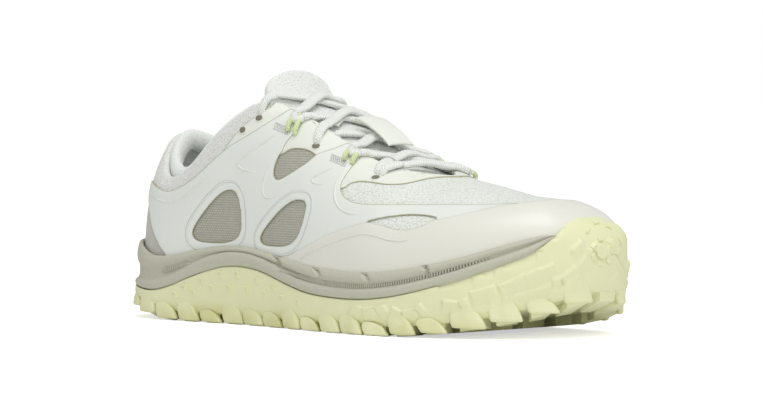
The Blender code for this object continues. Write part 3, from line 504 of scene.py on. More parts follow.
lining_paint = knit_paint("lining", LINING, 1100.0, 0.9, 0.0002, 0.9)
turns = np.arctan2(base_points[:, 1] - ROLL_CENTRE[1], base_points[:, 0] - ROLL_CENTRE[0]) % math.tau
highest = []
for k in range(ROLL_BINS):
    middle = math.tau * (k + 0.5) / ROLL_BINS
    here = np.nonzero(np.abs(turns - middle) < math.tau / ROLL_BINS)[0]
    here = here[base_points[here, 0] < ROLL_FIRST_X]
    if len(here):
        highest.append(base_points[here[np.argmax(base_points[here, 2])]])
highest = np.array(highest)
for _ in range(3):
    highest[1:-1] = (highest[:-2] + highest[1:-1] * 2 + highest[2:]) / 4
path, ups = [], []
for x, y, z in rounded([tuple(place) for place in highest], closed=False):
    inward = (Vector((*ROLL_CENTRE, 0)) - Vector((x, y, 0))).normalized()
    path.append(Vector((x, y, z - ROLL_DROP)) + inward * ROLL_INSET)
    ups.append(ABOVE)
roll = bmesh.new()
swell = [ROLL_THICK * (0.45 + 0.55 * math.sin(math.pi * i / (len(path) - 1)) ** 0.4)
         for i in range(len(path))]
sweep(roll, path, ups, [s * 0.85 for s in swell], [s * 1.35 for s in swell], sides=16)
collar_roll = finish_mesh(roll, "collar_roll", lining_paint)
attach(collar_roll, "root")

# Films and overlays: thin sheets pressed on the textile, cut to their outlines, with
# softened edges and a thin olive line where the cut shows.
EDGE_SOFT_MM = 1.1
EDGE_DROP = 0.00018
LEAST_FACING = 0.08
RIM_MM = 4.0
# Each sheet's lift over the textile and its thickness
FILM_SHEET = (0.00030, 0.00055)
EYESTAY_SHEET = (0.00008, 0.00045)
RAND_SHEET = (0.00085, 0.00045)
OLIVE = (0.46, 0.46, 0.30)
FILM_WHITE = (0.81, 0.845, 0.79)
CREAM = (0.83, 0.85, 0.765)
RAND_WHITE = (0.80, 0.80, 0.715)
outer_skin = bmesh.new()
outer_skin.from_mesh(base.data)
outer_skin.verts.ensure_lookup_table()


def thickened(piece, thickness, offset):
    """Gives a sheet its thickness, outward (1) or inward (-1)."""
    modifier = piece.modifiers.new("thickness", "SOLIDIFY")
    modifier.thickness = thickness
    modifier.offset = offset
    return baked(piece)


def cut_sheet(zone, name, lift, thickness, paint):
    """Sheet over the part of the outer skin where zone is positive."""
    sheet = outer_skin.copy()
    cut = sheet.verts.layers.float.new("cut")
    for vert in sheet.verts:
        value = zone[vert.index]
        vert[cut] = value if abs(value) > 1e-4 else 1e-4
    bare = [f for f in sheet.faces
            if all(v[cut] < 0 for v in f.verts) or min(facing[v.index] for v in f.verts) < LEAST_FACING]
    bmesh.ops.delete(sheet, geom=bare, context="FACES")
    made = []
    for edge in [e for e in sheet.edges if e.verts[0][cut] * e.verts[1][cut] < 0]:
        first, second = edge.verts
        share = first[cut] / (first[cut] - second[cut])
        _, vert = bmesh.utils.edge_split(edge, first, share)
        vert[cut] = 0
        made.append(vert)
    bmesh.ops.connect_verts(sheet, verts=made)
    bare = [f for f in sheet.faces if sum(v[cut] for v in f.verts) < 0]
    bmesh.ops.delete(sheet, geom=bare, context="FACES")
    loose = [v for v in sheet.verts if not v.link_faces]
    bmesh.ops.delete(sheet, geom=loose, context="VERTS")
    sheet.normal_update()
    for vert in sheet.verts:
        share = min(1.0, max(0.0, vert[cut] / EDGE_SOFT_MM))
        vert.co += vert.normal * (lift - EDGE_DROP * (1 - share) ** 2)
    piece = thickened(finish_mesh(sheet, name, paint), thickness, 1)
    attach(piece, "root")
    return piece


def noise(paint, scale, **values):
    return paint.node("TexNoise", Vector=paint.place(), Scale=scale, **values).outputs["Fac"]


def film_paint(name, colour, edge_colour, roughness, ridge=False):
    """Satin film: faint cloudy tone, fine pebble, olive cut edge, and pressed ridges."""
    paint = new_paint(name)
    cloud = noise(paint, 28)
    tone = paint.blend(cloud, dim(colour, 0.965), colour)
    edge = paint.ramp(paint.read("cut"), 0.10, 0.45)
    height = paint.math("MULTIPLY", noise(paint, 2600), 0.035)
    if ridge:
        far = paint.math("ABSOLUTE", paint.read("ridge"))
        height = paint.math("ADD", height, paint.ramp(far, 0.15, 0.75, 1, 0))
    paint.shade(Base_Color=paint.blend(edge, edge_colour, tone), Normal=paint.bump(height, 0.0005, 0.9),
                Roughness=paint.ramp(cloud, 0.3, 0.7, roughness - 0.04, roughness + 0.05),
                Coat_Weight=0.15, Coat_Roughness=0.35)
    return paint


# Side films: the main film over heel and midfoot, both sides in one sheet, with its windows
# cut out and a pressed ridge that follows each side window.
ridge = outer_skin.verts.layers.float.new("ridge")
rim_distance = -side_windows - RIM_MM
for vert in outer_skin.verts:
    vert[ridge] = rim_distance[vert.index]
film_coat = film_paint("film_satin", FILM_WHITE, OLIVE, 0.42, ridge=True)
film = cut_sheet(film_zone, "side_films", *FILM_SHEET, film_coat)
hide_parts("side_film_lateral", "side_film_medial", "heel_counter")

# Eyestay: a matt cream overlay along the lace rows, round the throat and down its front,
# pressed nearly flush with the film.
cream_coat = film_paint("eyestay_film", CREAM, OLIVE, 0.55)
eyestay = cut_sheet(cream_zone, "eyestay_overlay", *EYESTAY_SHEET, cream_coat)
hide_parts("eyestay")

# Toe rand: a warm translucent film wrapped round the toe box, proud of the other films,
# with an edge in its own darker tone.
rand_coat = film_paint("toe_film", RAND_WHITE, dim(RAND_WHITE, 0.86), 0.40)
rand = cut_sheet(rand_zone, "toe_rand_film", *RAND_SHEET, rand_coat)
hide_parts("toe_rand")

# Insole: a foam sheet on the footbed with a knitted cover. Its form is the solid's, with
# the edges rounded once, and it shows only through the mouth.
insole = rounder(finish_mesh(cad_cage("insole"), "insole_sheet", lining_paint), 1)
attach(insole, "root")
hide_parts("insole")

# Tongue: padded mesh, arched across the foot. Above the throat its free top spreads
# sideways and droops at both corners.
TONGUE_WHITE = (0.85, 0.87, 0.83)
TONGUE_FREE_Z = (0.0985, 0.1060)
TONGUE_TOP_HALF = 0.016
TONGUE_SPREAD = 0.42
TONGUE_DROOP = 0.0035


def move_to(piece, points):
    piece.data.vertices.foreach_set("co", points.ravel())
    piece.data.update()


tongue_paint = knit_paint("tongue_mesh", TONGUE_WHITE, 1150.0, 0.80, 0.00025, 0.88)
tongue = rounder(finish_mesh(cad_cage("tongue"), "padded_tongue", tongue_paint), 3)
points = per_vertex(tongue)
free = smooth(np.clip((points[:, 2] - TONGUE_FREE_Z[0]) / (TONGUE_FREE_Z[1] - TONGUE_FREE_Z[0]), 0, 1))
middle = spine_y(points[:, 0])
reach = np.abs(points[:, 1] - middle) / TONGUE_TOP_HALF
points[:, 1] = middle + (points[:, 1] - middle) * (1 + TONGUE_SPREAD * free)
points[:, 2] -= TONGUE_DROOP * free * reach ** 2
move_to(tongue, points)
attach(tongue, "root")
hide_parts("tongue")

# Midsole: moulded foam with a lower band, a ribbed groove and a notched upper lip. Its
# mesh is finer near the notches, which are pressed in as slanting flutes. The groove along
# the ribs is painted dark: painted shade.
FOAM_GREY = (0.535, 0.53, 0.43)
NOTCHES_PX = ((206, 254.5), (246, 266), (294.5, 270.5), (355.5, 263.5))
NOTCH_HALF_MM = 1.9
NOTCH_DEPTH = 0.0017
NOTCH_SLANT = 0.35
NOTCH_REACH_PX = (5.5, 12)
NOTCH_FOOT_PX = 7
NOTCH_RUN_OUT_PX = 5
foam_paint = new_paint("foam")
grain = noise(foam_paint, 1500, Detail=3)
foam_tone = foam_paint.blend(grain, dim(FOAM_GREY, 0.88), dim(FOAM_GREY, 1.12))
# Painted shade: along the ribs the foam is painted at about a third of its colour, as shade in the groove
painted_groove_shade = foam_paint.ramp(foam_paint.read("rib_shade_zone"), 0.0, 0.7)
foam_paint.shade(Base_Color=foam_paint.blend(painted_groove_shade, foam_tone, dim(FOAM_GREY, 0.35)),
                 Normal=foam_paint.bump(grain, 0.0003, 0.5), Roughness=0.72)
midsole = rounder(finish_mesh(cad_cage("midsole"), "foam_midsole", foam_paint), 3)
foam = bmesh.new()
foam.from_mesh(midsole.data)
for _ in range(2):
    middles = np.array([(e.verts[0].co + e.verts[1].co) / 2 for e in foam.edges])
    middles = photo_px(on_lateral(middles))
    outer = np.array([min(math.hypot(*v.normal[:2]) * np.sign(v.normal.y * v.co.y) for v in e.verts)
                      for e in foam.edges]) > 0.1
    near = np.zeros(len(middles), bool)
    for notch_x, notch_y in NOTCHES_PX:
        near |= outer & (np.abs(middles - (notch_x, notch_y)) < NOTCH_REACH_PX).all(axis=1)
    fine_edges = [e for e, close in zip(foam.edges, near) if close]
    bmesh.ops.subdivide_edges(foam, edges=fine_edges, cuts=1, use_grid_fill=True)
foam.to_mesh(midsole.data)
foam.free()
midsole.data.shade_smooth()
points, normals = per_vertex(midsole), per_vertex(midsole, "normal")
foam_px = photo_px(on_lateral(points))
deepest = np.zeros(len(points))
for notch_x, notch_y in NOTCHES_PX:
    slant = foam_px[:, 0] - notch_x - (foam_px[:, 1] - notch_y) * NOTCH_SLANT
    beside = np.clip(np.abs(slant) * MM_PER_PX / NOTCH_HALF_MM, 0, 1)
    above = np.clip((notch_y + NOTCH_FOOT_PX - foam_px[:, 1]) / NOTCH_RUN_OUT_PX, 0, 1)
    deepest = np.maximum(deepest, (0.5 + 0.5 * np.cos(math.pi * beside)) * above)
side_facing = np.hypot(normals[:, 0], normals[:, 1]) > 0.2
points -= normals * (deepest * NOTCH_DEPTH * side_facing)[:, None]
move_to(midsole, points)
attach(midsole, "root")
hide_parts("midsole")

# Ribs of the groove: a row of small upright fins along the waist of the foam, which runs
# out under the arch. Their middle line is in millimetres, along and up the side.
RIB_LINES_MM = (
    ((-101, 23.2), (-92, 25), (-81, 27.3)),
    ((-13.7, 26.8), (-2, 24.6), (10, 22.9), (24, 21.9), (39, 21.5), (51, 22.1), (63, 23.6), (76, 26),
     (89, 29.2), (100, 32.8), (109, 36)),
)
RIB_PITCH_MM = 1.3
RIB_TALL = 0.0034
RIB_WIDE = 0.0008
RIB_DEEP = 0.0013


def tree_of(*pieces):
    """One search tree over the faces of several pieces."""
    corners, faces = [], []
    for piece in pieces:
        start = len(corners)
        corners.extend(v.co.copy() for v in piece.data.vertices)
        faces.extend([start + i for i in p.vertices] for p in piece.data.polygons)
    return BVHTree.FromPolygons(corners, faces)


foam_tree = tree_of(midsole)
# The band round the rib lines, where the foam paint puts its painted shade in the groove
rib_shade_zone = np.full(len(points), -5.0)
along_mm, up_mm = points[:, 0] * 1000, points[:, 2] * 1000
for line in RIB_LINES_MM:
    line_z = np.interp(along_mm, *zip(*line), left=-99, right=-99)
    from_end = np.minimum(along_mm - line[0][0], line[-1][0] - along_mm)
    reach = 0.36 * RIB_TALL * 1000 * np.clip(0.35 + from_end * 0.05, 0, 1)
    rib_shade_zone = np.maximum(rib_shade_zone, reach - np.abs(up_mm - line_z))
store(midsole, "rib_shade_zone", rib_shade_zone)
ribs = bmesh.new()
for line in RIB_LINES_MM:
    xs, zs = [p[0] for p in line], [p[1] for p in line]
    count = int((xs[-1] - xs[0]) / RIB_PITCH_MM)
    for i in range(count + 1):
        x = xs[0] + (xs[-1] - xs[0]) * i / count
        z = float(np.interp(x, xs, zs))
        fade = min(1.0, 0.35 + 5 * min(i, count - i) / count)
        for side in (-1, 1):
            hit, normal, _, _ = foam_tree.ray_cast(Vector((x, side * 80, z)) / 1000, Vector((0, -side, 0)))
            if hit is None:
                continue
            out = Vector((normal.x, normal.y, 0)).normalized()
            turn = Matrix((out.cross(ABOVE), out, ABOVE)).transposed().to_4x4()
            size = Matrix.Diagonal((RIB_WIDE / 2, RIB_DEEP / 2, RIB_TALL * fade / 2, 1))
            place = Matrix.Translation(hit + out * RIB_DEEP * 0.15)
            bmesh.ops.create_uvsphere(ribs, u_segments=6, v_segments=4, radius=1.15,
                                      matrix=place @ turn @ size)
groove_ribs = finish_mesh(ribs, "groove_ribs", foam_paint)
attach(groove_ribs, "root")

# Outsole tread: the moulded rubber plate with its lugs below, in the solid's own form
# without its outer wall, and softened along the edges. Its rubber paint is darker and more
# olive over the lowest 12 mm: painted shade near the floor.
RUBBER = (0.79, 0.795, 0.50)
# Painted shade: the rubber's colour nearest the floor
RUBBER_PAINTED_SHADE = (0.62, 0.62, 0.28)
LUG_DEPTH = 0.0042
PLATE_TOP = 0.0084
rubber_paint = new_paint("rubber")
cloud = noise(rubber_paint, 45)
height = rubber_paint.node("SeparateXYZ", Vector=rubber_paint.place()).outputs["Z"]
# Painted shade: the rubber is darker and more olive over its lowest 12 mm, towards the floor
tone = rubber_paint.blend(rubber_paint.ramp(height, 0.0, 0.012), RUBBER_PAINTED_SHADE, RUBBER)
rubber_paint.shade(
    Base_Color=rubber_paint.blend(rubber_paint.ramp(cloud, 0.3, 0.7), tone, dim(RUBBER, 1.02)),
    Normal=rubber_paint.bump(noise(rubber_paint, 1400), 0.00012, 0.35),
    Roughness=rubber_paint.ramp(cloud, 0.3, 0.7, 0.46, 0.58))

GROUND_MM = (
    # along, height of the lugs' feet, which lift under the heel and the toe
    (-141, 6.2), (-128, 5.7), (-115.9, 3.6), (-104.1, 1.1), (-90, 0), (60, 0), (84, 1.7), (104, 4.6),
    (120.1, 8.5), (126.9, 11.1), (132, 13.7), (135.4, 15.4), (141, 18.5))


def ground(x):
    return float(np.interp(x * 1000, *zip(*GROUND_MM))) / 1000


def on_wall(face):
    """True for a face on the outer side of the outsole's wall."""
    middle = face.calc_center_median()
    spine = Vector((min(SPINE_ENDS[1], max(SPINE_ENDS[0], middle.x)), float(spine_y(middle.x)), middle.z))
    outward = (middle - spine).normalized()
    low = min(v.co.z - ground(v.co.x) for v in face.verts) < LUG_DEPTH - 0.0006
    return not low and face.normal.dot(outward) > 0.35


def bevelled(piece, width, angle):
    """Softens a piece's edges that turn by more than an angle in degrees."""
    modifier = piece.modifiers.new("soft_edges", "BEVEL")
    modifier.width = width
    modifier.segments = 2
    modifier.limit_method = "ANGLE"
    modifier.angle_limit = math.radians(angle)
    return baked(piece)


tread = bmesh.new()
tread.from_mesh(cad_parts["outsole"].data)
bmesh.ops.remove_doubles(tread, verts=tread.verts, dist=1e-5)
high = [f for f in tread.faces if on_wall(f) or max(v.co.z - ground(v.co.x) for v in f.verts) > PLATE_TOP]
bmesh.ops.delete(tread, geom=high, context="FACES")
bmesh.ops.dissolve_limit(tread, angle_limit=math.radians(1.5), verts=tread.verts, edges=tread.edges)
outsole = bevelled(finish_mesh(tread, "rubber_tread", rubber_paint, smooth=False), 0.0005, 45)
outsole.data.shade_smooth()
outsole.data.set_sharp_from_angle(angle=math.radians(35))
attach(outsole, "root")
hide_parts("outsole")

# Outsole side wall: the smooth outer wall of the rubber, which climbs at the arch and covers
# the toe as a guard. Its upper rim is tucked in, and ledges step down it towards the toe.
LEDGE_TALL = 0.0014
LEDGE_FALL_MM = 8.0
RIM_TUCK = 0.0019
RIM_RINGS = 7
RIM_FROM = 0.012
WALL_THICK = 0.0012
FINE_FROM_X = (0.02, 0.10)
FINE_SIDES_Y = 0.02
LEDGES_PX = (
    [(452.8, 266.6), (460.6, 263.4), (473.9, 258.8), (480.9, 255.6)],
    [(427.8, 277.5), (438.8, 272.8), (450.5, 266.6)],
    [(399.7, 283.8), (412.2, 280.6), (421.6, 277.5)],
    [(373.1, 291.9), (387.2, 293.5), (393.4, 290.1)],
    [(323.1, 298.9), (330.9, 302.8), (343.4, 299.7), (348.1, 295.8)],
    [(481.7, 269.9), (488.8, 269.2), (496.6, 264), (504.4, 257.3), (513, 247.6)],
    [(499.7, 241.8), (509, 233)],
    [(513.8, 242.6), (519.4, 240.3), (524.7, 235), (527.5, 230), (529.4, 222.8)],
    [(431, 291), (446, 286.5), (462, 281.5), (479, 275.5)],
    [(476, 286), (489, 279.5), (499, 272.5), (507, 266)],
    [(392, 303), (405, 299.5), (421, 296.5)],
    [(283, 296), (292, 300), (303, 299), (310, 294.5)],
)


def below_line(spots, line, fall):
    """Share of a scale's height: full just under its ledge, and run out a fall below it."""
    x, y = spots[:, 0], spots[:, 1]
    nearest, beyond = np.full(len(spots), 1e9), np.zeros(len(spots))
    for (x0, y0), (x1, y1) in zip(line, line[1:]):
        dx, dy = x1 - x0, y1 - y0
        size = math.hypot(dx, dy)
        free = ((x - x0) * dx + (y - y0) * dy) / size ** 2
        share = np.clip(free, 0, 1)
        away = np.hypot(x - x0 - share * dx, y - y0 - share * dy)
        away *= np.where(dx * (y - y0) - dy * (x - x0) > 0, 1, -1)
        closer = np.abs(away) < np.abs(nearest)
        nearest = np.where(closer, away, nearest)
        beyond = np.where(closer, np.maximum(-free, free - 1) * size, beyond)
    away = nearest * MM_PER_PX
    return np.clip(away / 0.7, 0, 1) * np.clip(1 - away / fall, 0, 1) * np.clip(1 - beyond / 2.0, 0, 1)


wall = cad_cage("outsole")
wall.normal_update()
bmesh.ops.delete(wall, geom=[f for f in wall.faces if not on_wall(f)], context="FACES")
side_wall = rounder(finish_mesh(wall, "rubber_side_wall", rubber_paint), 3)
wall = bmesh.new()
wall.from_mesh(side_wall.data)
level = [e for e in wall.edges if abs(e.verts[0].co.z - e.verts[1].co.z) < 0.6 * e.calc_length()
         and e.verts[0].co.x > FINE_FROM_X[e.verts[0].co.y >= FINE_SIDES_Y]]
bmesh.ops.subdivide_edges(wall, edges=level, cuts=2, use_grid_fill=True)
wall.normal_update()
ring = {v for e in wall.edges if e.is_boundary for v in e.verts if v.co.z > ground(v.co.x) + RIM_FROM}
done, tucks = set(), []
for k in range(RIM_RINGS):
    depth = RIM_TUCK * (1 - k / RIM_RINGS) ** 2
    tucks += [(v, v.normal * depth * (1.0 if v.co.x > 0.088 else 0.3)) for v in ring]
    done |= ring
    ring = {e.other_vert(v) for v in ring for e in v.link_edges} - done
for vert, tuck in tucks:
    vert.co -= tuck
wall.verts.index_update()
near_rim = [vert.index for vert in done]
wall.to_mesh(side_wall.data)
wall.free()
side_wall.data.shade_smooth()
points = per_vertex(side_wall)
wall_px = photo_px(on_lateral(points))
tall = np.max([below_line(wall_px, line, LEDGE_FALL_MM) for line in LEDGES_PX], axis=0)
tall[near_rim] = 0
points += per_vertex(side_wall, "normal") * (tall * LEDGE_TALL)[:, None]
move_to(side_wall, points)
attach(side_wall, "root")
wall_tree = tree_of(side_wall)
thickened(side_wall, WALL_THICK, -1)

# Side lugs: each is a scale that starts on the wall, leans and swells towards the floor,
# and ends in a lug. They stand over the lugs of the tread, all round the sole.
LUG_RUNS = (
    # first station, count, height of the scales, lean as a share of the pitch
    (0, 13, 0.0085, -0.34),
    (1, 8, 0.0105, -0.25),
    (2, 13, 0.0085, 0.34),
    (3, 7, 0.0075, -0.1),
)
LUG_FILL = 0.93
SCALE_PROUD = 0.0006
SCALE_DEEP = 0.0034


def rim(u):
    """Middle and outward direction of the sole's edge: 0 to 1 lateral, toe, medial, heel."""
    run, share = int(u) % 4, u % 1
    heel, toe = SPINE_ENDS
    angle = -math.pi / 2
    if run == 0:
        x = heel + (toe - heel) * share
    elif run == 1:
        x, angle = toe, math.pi * (share - 0.5)
    elif run == 2:
        x, angle = toe + (heel - toe) * share, math.pi / 2
    else:
        x, angle = heel, math.pi * (share + 0.5)
    return Vector((x, float(spine_y(x)), 0)), Vector((math.cos(angle), math.sin(angle), 0))


def on_rim(u, z):
    """Point of the side wall at a station and a height, carried straight down below its bulge."""
    middle, out = rim(u)
    tip = ground(middle.x + out.x * 0.035)
    height = max(z, tip + LUG_DEPTH + (0.0048 if middle.x > SPINE_ENDS[0] else 0.0028))
    hit, _, _, _ = wall_tree.ray_cast(middle + out * 0.09 + Vector((0, 0, height)), -out)
    if hit is None:
        return None, out, tip
    return Vector((hit.x, hit.y, z)), out, ground(hit.x)


scales = bmesh.new()
for start, count, height, lean in LUG_RUNS:
    for i in range(count):
        middle_u = start + (i + 0.5) / count
        _, _, floor_z = on_rim(middle_u, 0)
        scale_tall = height * (1.0 + 0.28 * math.sin(i * 2.4))
        grid = bmesh.ops.create_grid(scales, x_segments=6, y_segments=7, size=1)["verts"]
        lost = False
        for vert in grid:
            across, rise = vert.co.x, (vert.co.y + 1) / 2
            half = (LUG_FILL + 0.05 * math.sin(i * 5.1)) / 2 * math.sqrt(max(0.02, 1 - 0.93 * rise ** 3))
            u = middle_u + (across * half + lean * (rise - 0.25)) / count
            z = floor_z + 0.0004 + rise * scale_tall
            place, out, _ = on_rim(min(start + 0.999, max(start + 0.001, u)), z)
            if place is None:
                lost = True
                break
            proud = SCALE_PROUD * (1.2 - 1.7 * rise ** 2) + 0.0005 * (1 - across ** 2) * (1 - rise)
            vert.co = place + out * proud
        if lost:
            bmesh.ops.delete(scales, geom=grid, context="VERTS")
side_lugs = finish_mesh(scales, "side_lugs", rubber_paint)
rounder(thickened(side_lugs, SCALE_DEEP, -1), 1)
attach(side_lugs, "root")

# Small raised marks moulded on the wall: rows of hooked marks over the arch and the heel, and
# on the toe guard short dashes round a ring of lozenges.
HOOKS_PX = (
    (148, 267.5), (165.5, 267.5), (129.6, 274), (112, 280.5), (139.2, 281), (120.8, 285.5), (102.4, 288),
    (184.8, 273.5), (201.5, 280), (193, 287), (210.3, 290.8), (226.9, 295), (157, 281), (175, 282.5))
HOOK_MM = [(-1.7, 1.3), (1.7, 1.3), (1.7, -1.5), (0.8, -1.5), (0.8, 0.45), (-1.7, 0.45)]
BAR_MM = [(-1.9, -0.6), (1.9, -0.6), (1.9, 0.6), (-1.9, 0.6)]
LOZENGE_MM = [(-1.5, -1.0), (1.2, -1.3), (1.6, 0.9), (-1.1, 1.3)]
GUARD_BARS_PX = (
    (516.9, 223.3, 40), (525.2, 216, 5), (537, 219.7, -25), (548.6, 232.7, -60), (545, 246, -10))
RING_PX = (531.7, 243.9)
RING_RADIUS_PX = 12.5
RING_COUNT = 7
DISC_MM = [(3.4 * c, 3.4 * s) for c, s in round_points(20)]
MARK_TALL = 0.0007
MARK_SUNK = 0.0003


def on_skin(spot, tree):
    """Where a pixel of the photograph falls on the lateral side, with the normal there."""
    x, y = (spot[0] - AIM_PX[0]) / FOCAL_PX, (AIM_PX[1] - spot[1]) / FOCAL_PX
    hit, normal, _, _ = tree.ray_cast(eye, (right * x + up * y - back).normalized())
    return hit, normal


def both_sides(spot, tree):
    """The same place on the lateral and the medial side: points, normals and side."""
    hit, normal = on_skin(spot, tree)
    if hit is None:
        return []
    mirrored = Vector((hit.x, 2 * float(spine_y(hit.x)) - hit.y, hit.z))
    far, far_normal, _, _ = tree.find_nearest(mirrored)
    return [(hit, normal, 1), (far, far_normal, -1)]


def level_and_rise(normal):
    """Two directions in a surface: level, and up it."""
    level = ABOVE.cross(normal).normalized()
    return level, normal.cross(level)


def raised_mark(spot, outline, share=1.0, turn=0.0, sides=2):
    """Flat raised mark with an outline in millimetres, on one or both sides of the shoe."""
    c, s = math.cos(math.radians(turn)), math.sin(math.radians(turn))
    for hit, normal, side in both_sides(spot, wall_tree)[:sides]:
        level, rise = level_and_rise(normal)
        verts = []
        for a, b in outline:
            a, b = a * c - b * s, a * s + b * c
            verts.append(marks.verts.new(hit + (level * side * a + rise * b) / 1000 - normal * MARK_SUNK))
        top = bmesh.ops.extrude_face_region(marks, geom=[marks.faces.new(verts)])["geom"]
        lifted = [v for v in top if isinstance(v, bmesh.types.BMVert)]
        bmesh.ops.translate(marks, verts=lifted, vec=normal * (MARK_TALL * share + MARK_SUNK))


marks = bmesh.new()
for spot in HOOKS_PX:
    raised_mark(spot, HOOK_MM, turn=-8)
for x, y, turn in GUARD_BARS_PX:
    raised_mark((x, y), BAR_MM, turn=turn, sides=1)
raised_mark(RING_PX, DISC_MM, 0.6, sides=1)
for i in range(RING_COUNT):
    angle = math.tau * i / RING_COUNT
    x = RING_PX[0] + RING_RADIUS_PX * 0.8 * math.cos(angle)
    y = RING_PX[1] + RING_RADIUS_PX * math.sin(angle)
    raised_mark((x, y), LOZENGE_MM, 0.8, 90 - math.degrees(angle), sides=1)
bmesh.ops.recalc_face_normals(marks, faces=marks.faces)
wall_marks = finish_mesh(marks, "wall_marks", rubber_paint, smooth=False)
bevelled(wall_marks, 0.00025, 30)
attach(wall_marks, "root")

# Laces: one flat woven lace, criss-crossed over five rows. It runs through cord loops, and
# on the lateral side through holes in the first, third and fifth rows.
LACE_MINT = (0.93, 0.955, 0.90)
LACE_WIDE = 0.0062
LACE_THICK = 0.0031
LACE_ROWS = (
    # lateral along, across, medial along, across, in millimetres from the spine
    (-43.3, 25.3, -38.0, 21.5),
    (-22.0, 21.1, -18.0, 20.7),
    (-7.0, 25.2, 2.0, 20.7),
    (13.0, 21.1, 22.0, 20.7),
    (29.8, 25.0, 42.0, 19.6),
)
LOOPED_LATERAL = (1, 3)
LAST_ROW = len(LACE_ROWS) - 1
STRAND_STEPS = 36
LACE_STEP = 0.0020
BEND_OUT = 0.0016
SLIT_FLOOR = 0.045
THIRD_ROW_START = -0.0165
DIVE = 0.0036
DIVE_SHARE = 0.06
ARCH_SHARE = 0.22
GATHER_SHARE = 0.16
GATHERED_WIDE = 0.62
shoe_tree = tree_of(base, tongue, film, eyestay)


def over_shoe(x, across):
    """Highest point of the shoe at a place in plan, with its normal.

    Over the slit beside the tongue it is the point of the nearest edge.
    """
    place = Vector((x, float(spine_y(np.array(x))) + across, 0.2))
    hit, normal, _, _ = shoe_tree.ray_cast(place, Vector((0, 0, -1)))
    if hit is None or hit.z < SLIT_FLOOR:
        near, normal, _, _ = shoe_tree.find_nearest(Vector((place.x, place.y, 0.11)))
        hit = Vector((place.x, place.y, near.z))
    return hit, normal


def taut(heights, places):
    """Raises a line of heights to the line of a string pulled tight over it."""
    hull = []
    for place in zip(places, heights):
        while len(hull) > 1 and ((hull[-1][0] - hull[-2][0]) * (place[1] - hull[-2][1])
                                 >= (hull[-1][1] - hull[-2][1]) * (place[0] - hull[-2][0])):
            hull.pop()
        hull.append(place)
    return np.interp(places, [p[0] for p in hull], [p[1] for p in hull])


def strand(bm, start, end, rise, sunk_start, sunk_end):
    """One run of lace across the throat, between two places in plan (x, across)."""
    shares = [i / STRAND_STEPS for i in range(STRAND_STEPS + 1)]
    places, normals = [], []
    for share in shares:
        x, across = (a + (b - a) * share for a, b in zip(start, end))
        hit, normal = over_shoe(x, across)
        places.append(hit)
        normals.append(normal)
    heights = taut([p.z for p in places], shares)
    heights = heights * 0.75 + np.array([p.z for p in places]) * 0.25
    for _ in range(4):
        heights[1:-1] = (heights[:-2] + heights[1:-1] * 2 + heights[2:]) / 4
    path, ups, wide, thick = [], [], [], []
    for i, share in enumerate(shares):
        lift = LACE_THICK * 0.55 + rise * math.exp(-((share - 0.5) / ARCH_SHARE) ** 2)
        for sunk, gone in ((sunk_start, share), (sunk_end, 1 - share)):
            if sunk:
                lift -= DIVE * max(0.0, 1 - gone / DIVE_SHARE) ** 2
        ups.append((normals[i] + ABOVE).normalized())
        path.append(Vector((places[i].x, places[i].y, heights[i])) + ups[-1] * lift)
        end_share = min(share, 1 - share)
        open_share = min(1.0, end_share / GATHER_SHARE)
        wide.append(LACE_WIDE * (GATHERED_WIDE + (1 - GATHERED_WIDE) * open_share))
        thick.append(LACE_THICK * (1.15 - 0.15 * open_share))
    sweep(bm, path, ups, wide, thick)


def bend(bm, x, across):
    """The lace's turn through a loop, from one run to the next."""
    side = -1 if across < 0 else 1
    path, ups = [], []
    for i in range(9):
        angle = math.pi * (1 - i / 8)
        hit, normal = over_shoe(x + LACE_STEP * math.cos(angle), across + side * BEND_OUT * math.sin(angle))
        ups.append((normal + ABOVE).normalized())
        path.append(hit + ups[-1] * LACE_THICK * 0.55)
    sweep(bm, path, ups, LACE_WIDE * GATHERED_WIDE, LACE_THICK * 1.25)


def twisted(paint, turns, dark, light, depth, strength, **values):
    """Stripes round a cord from its turns in radians, dark in their grooves."""
    twist = paint.ramp(paint.math("SINE", turns), -1, 1)
    paint.shade(Base_Color=paint.blend(twist, dark, light),
                Normal=paint.bump(twist, depth, strength), **values)


lace_paint = new_paint("lace_tape")
slant = lace_paint.math("ABSOLUTE", lace_paint.read("across"))
turns = lace_paint.math("ADD", lace_paint.math("MULTIPLY", lace_paint.read("along"), 5200),
                        lace_paint.math("MULTIPLY", slant, 4200))
twisted(lace_paint, turns, dim(LACE_MINT, 0.89), LACE_MINT, 0.0003, 0.8, Roughness=0.85, Sheen_Weight=0.3)
lace_ends = [((a / 1000, -b / 1000), (c / 1000, d / 1000)) for a, b, c, d in LACE_ROWS]
lace = bmesh.new()
for k in range(LAST_ROW):
    (lat_x, lat_out), (med_x, med_out) = lace_ends[k]
    (next_lat_x, next_lat_out), (next_med_x, next_med_out) = lace_ends[k + 1]
    start = (lat_x + LACE_STEP * (k > 0), THIRD_ROW_START if k == 2 else lat_out)
    strand(lace, start, (next_med_x - LACE_STEP, next_med_out), 0.0, k not in LOOPED_LATERAL, False)
    end = (next_lat_x - LACE_STEP * (k + 1 in LOOPED_LATERAL), next_lat_out)
    strand(lace, (med_x + LACE_STEP, med_out), end, LACE_THICK * 0.95, False, k + 1 not in LOOPED_LATERAL)
(lat_x, lat_out), (med_x, med_out) = lace_ends[LAST_ROW]
strand(lace, (lat_x + LACE_STEP, lat_out), (med_x + LACE_STEP, med_out), LACE_THICK * 0.5, True, False)
for k, (lateral_end, medial_end) in enumerate(lace_ends):
    if k in LOOPED_LATERAL:
        bend(lace, *lateral_end)
    bend(lace, *medial_end)
laces = finish_mesh(lace, "flat_lace", lace_paint)
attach(laces, "root")
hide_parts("laces")

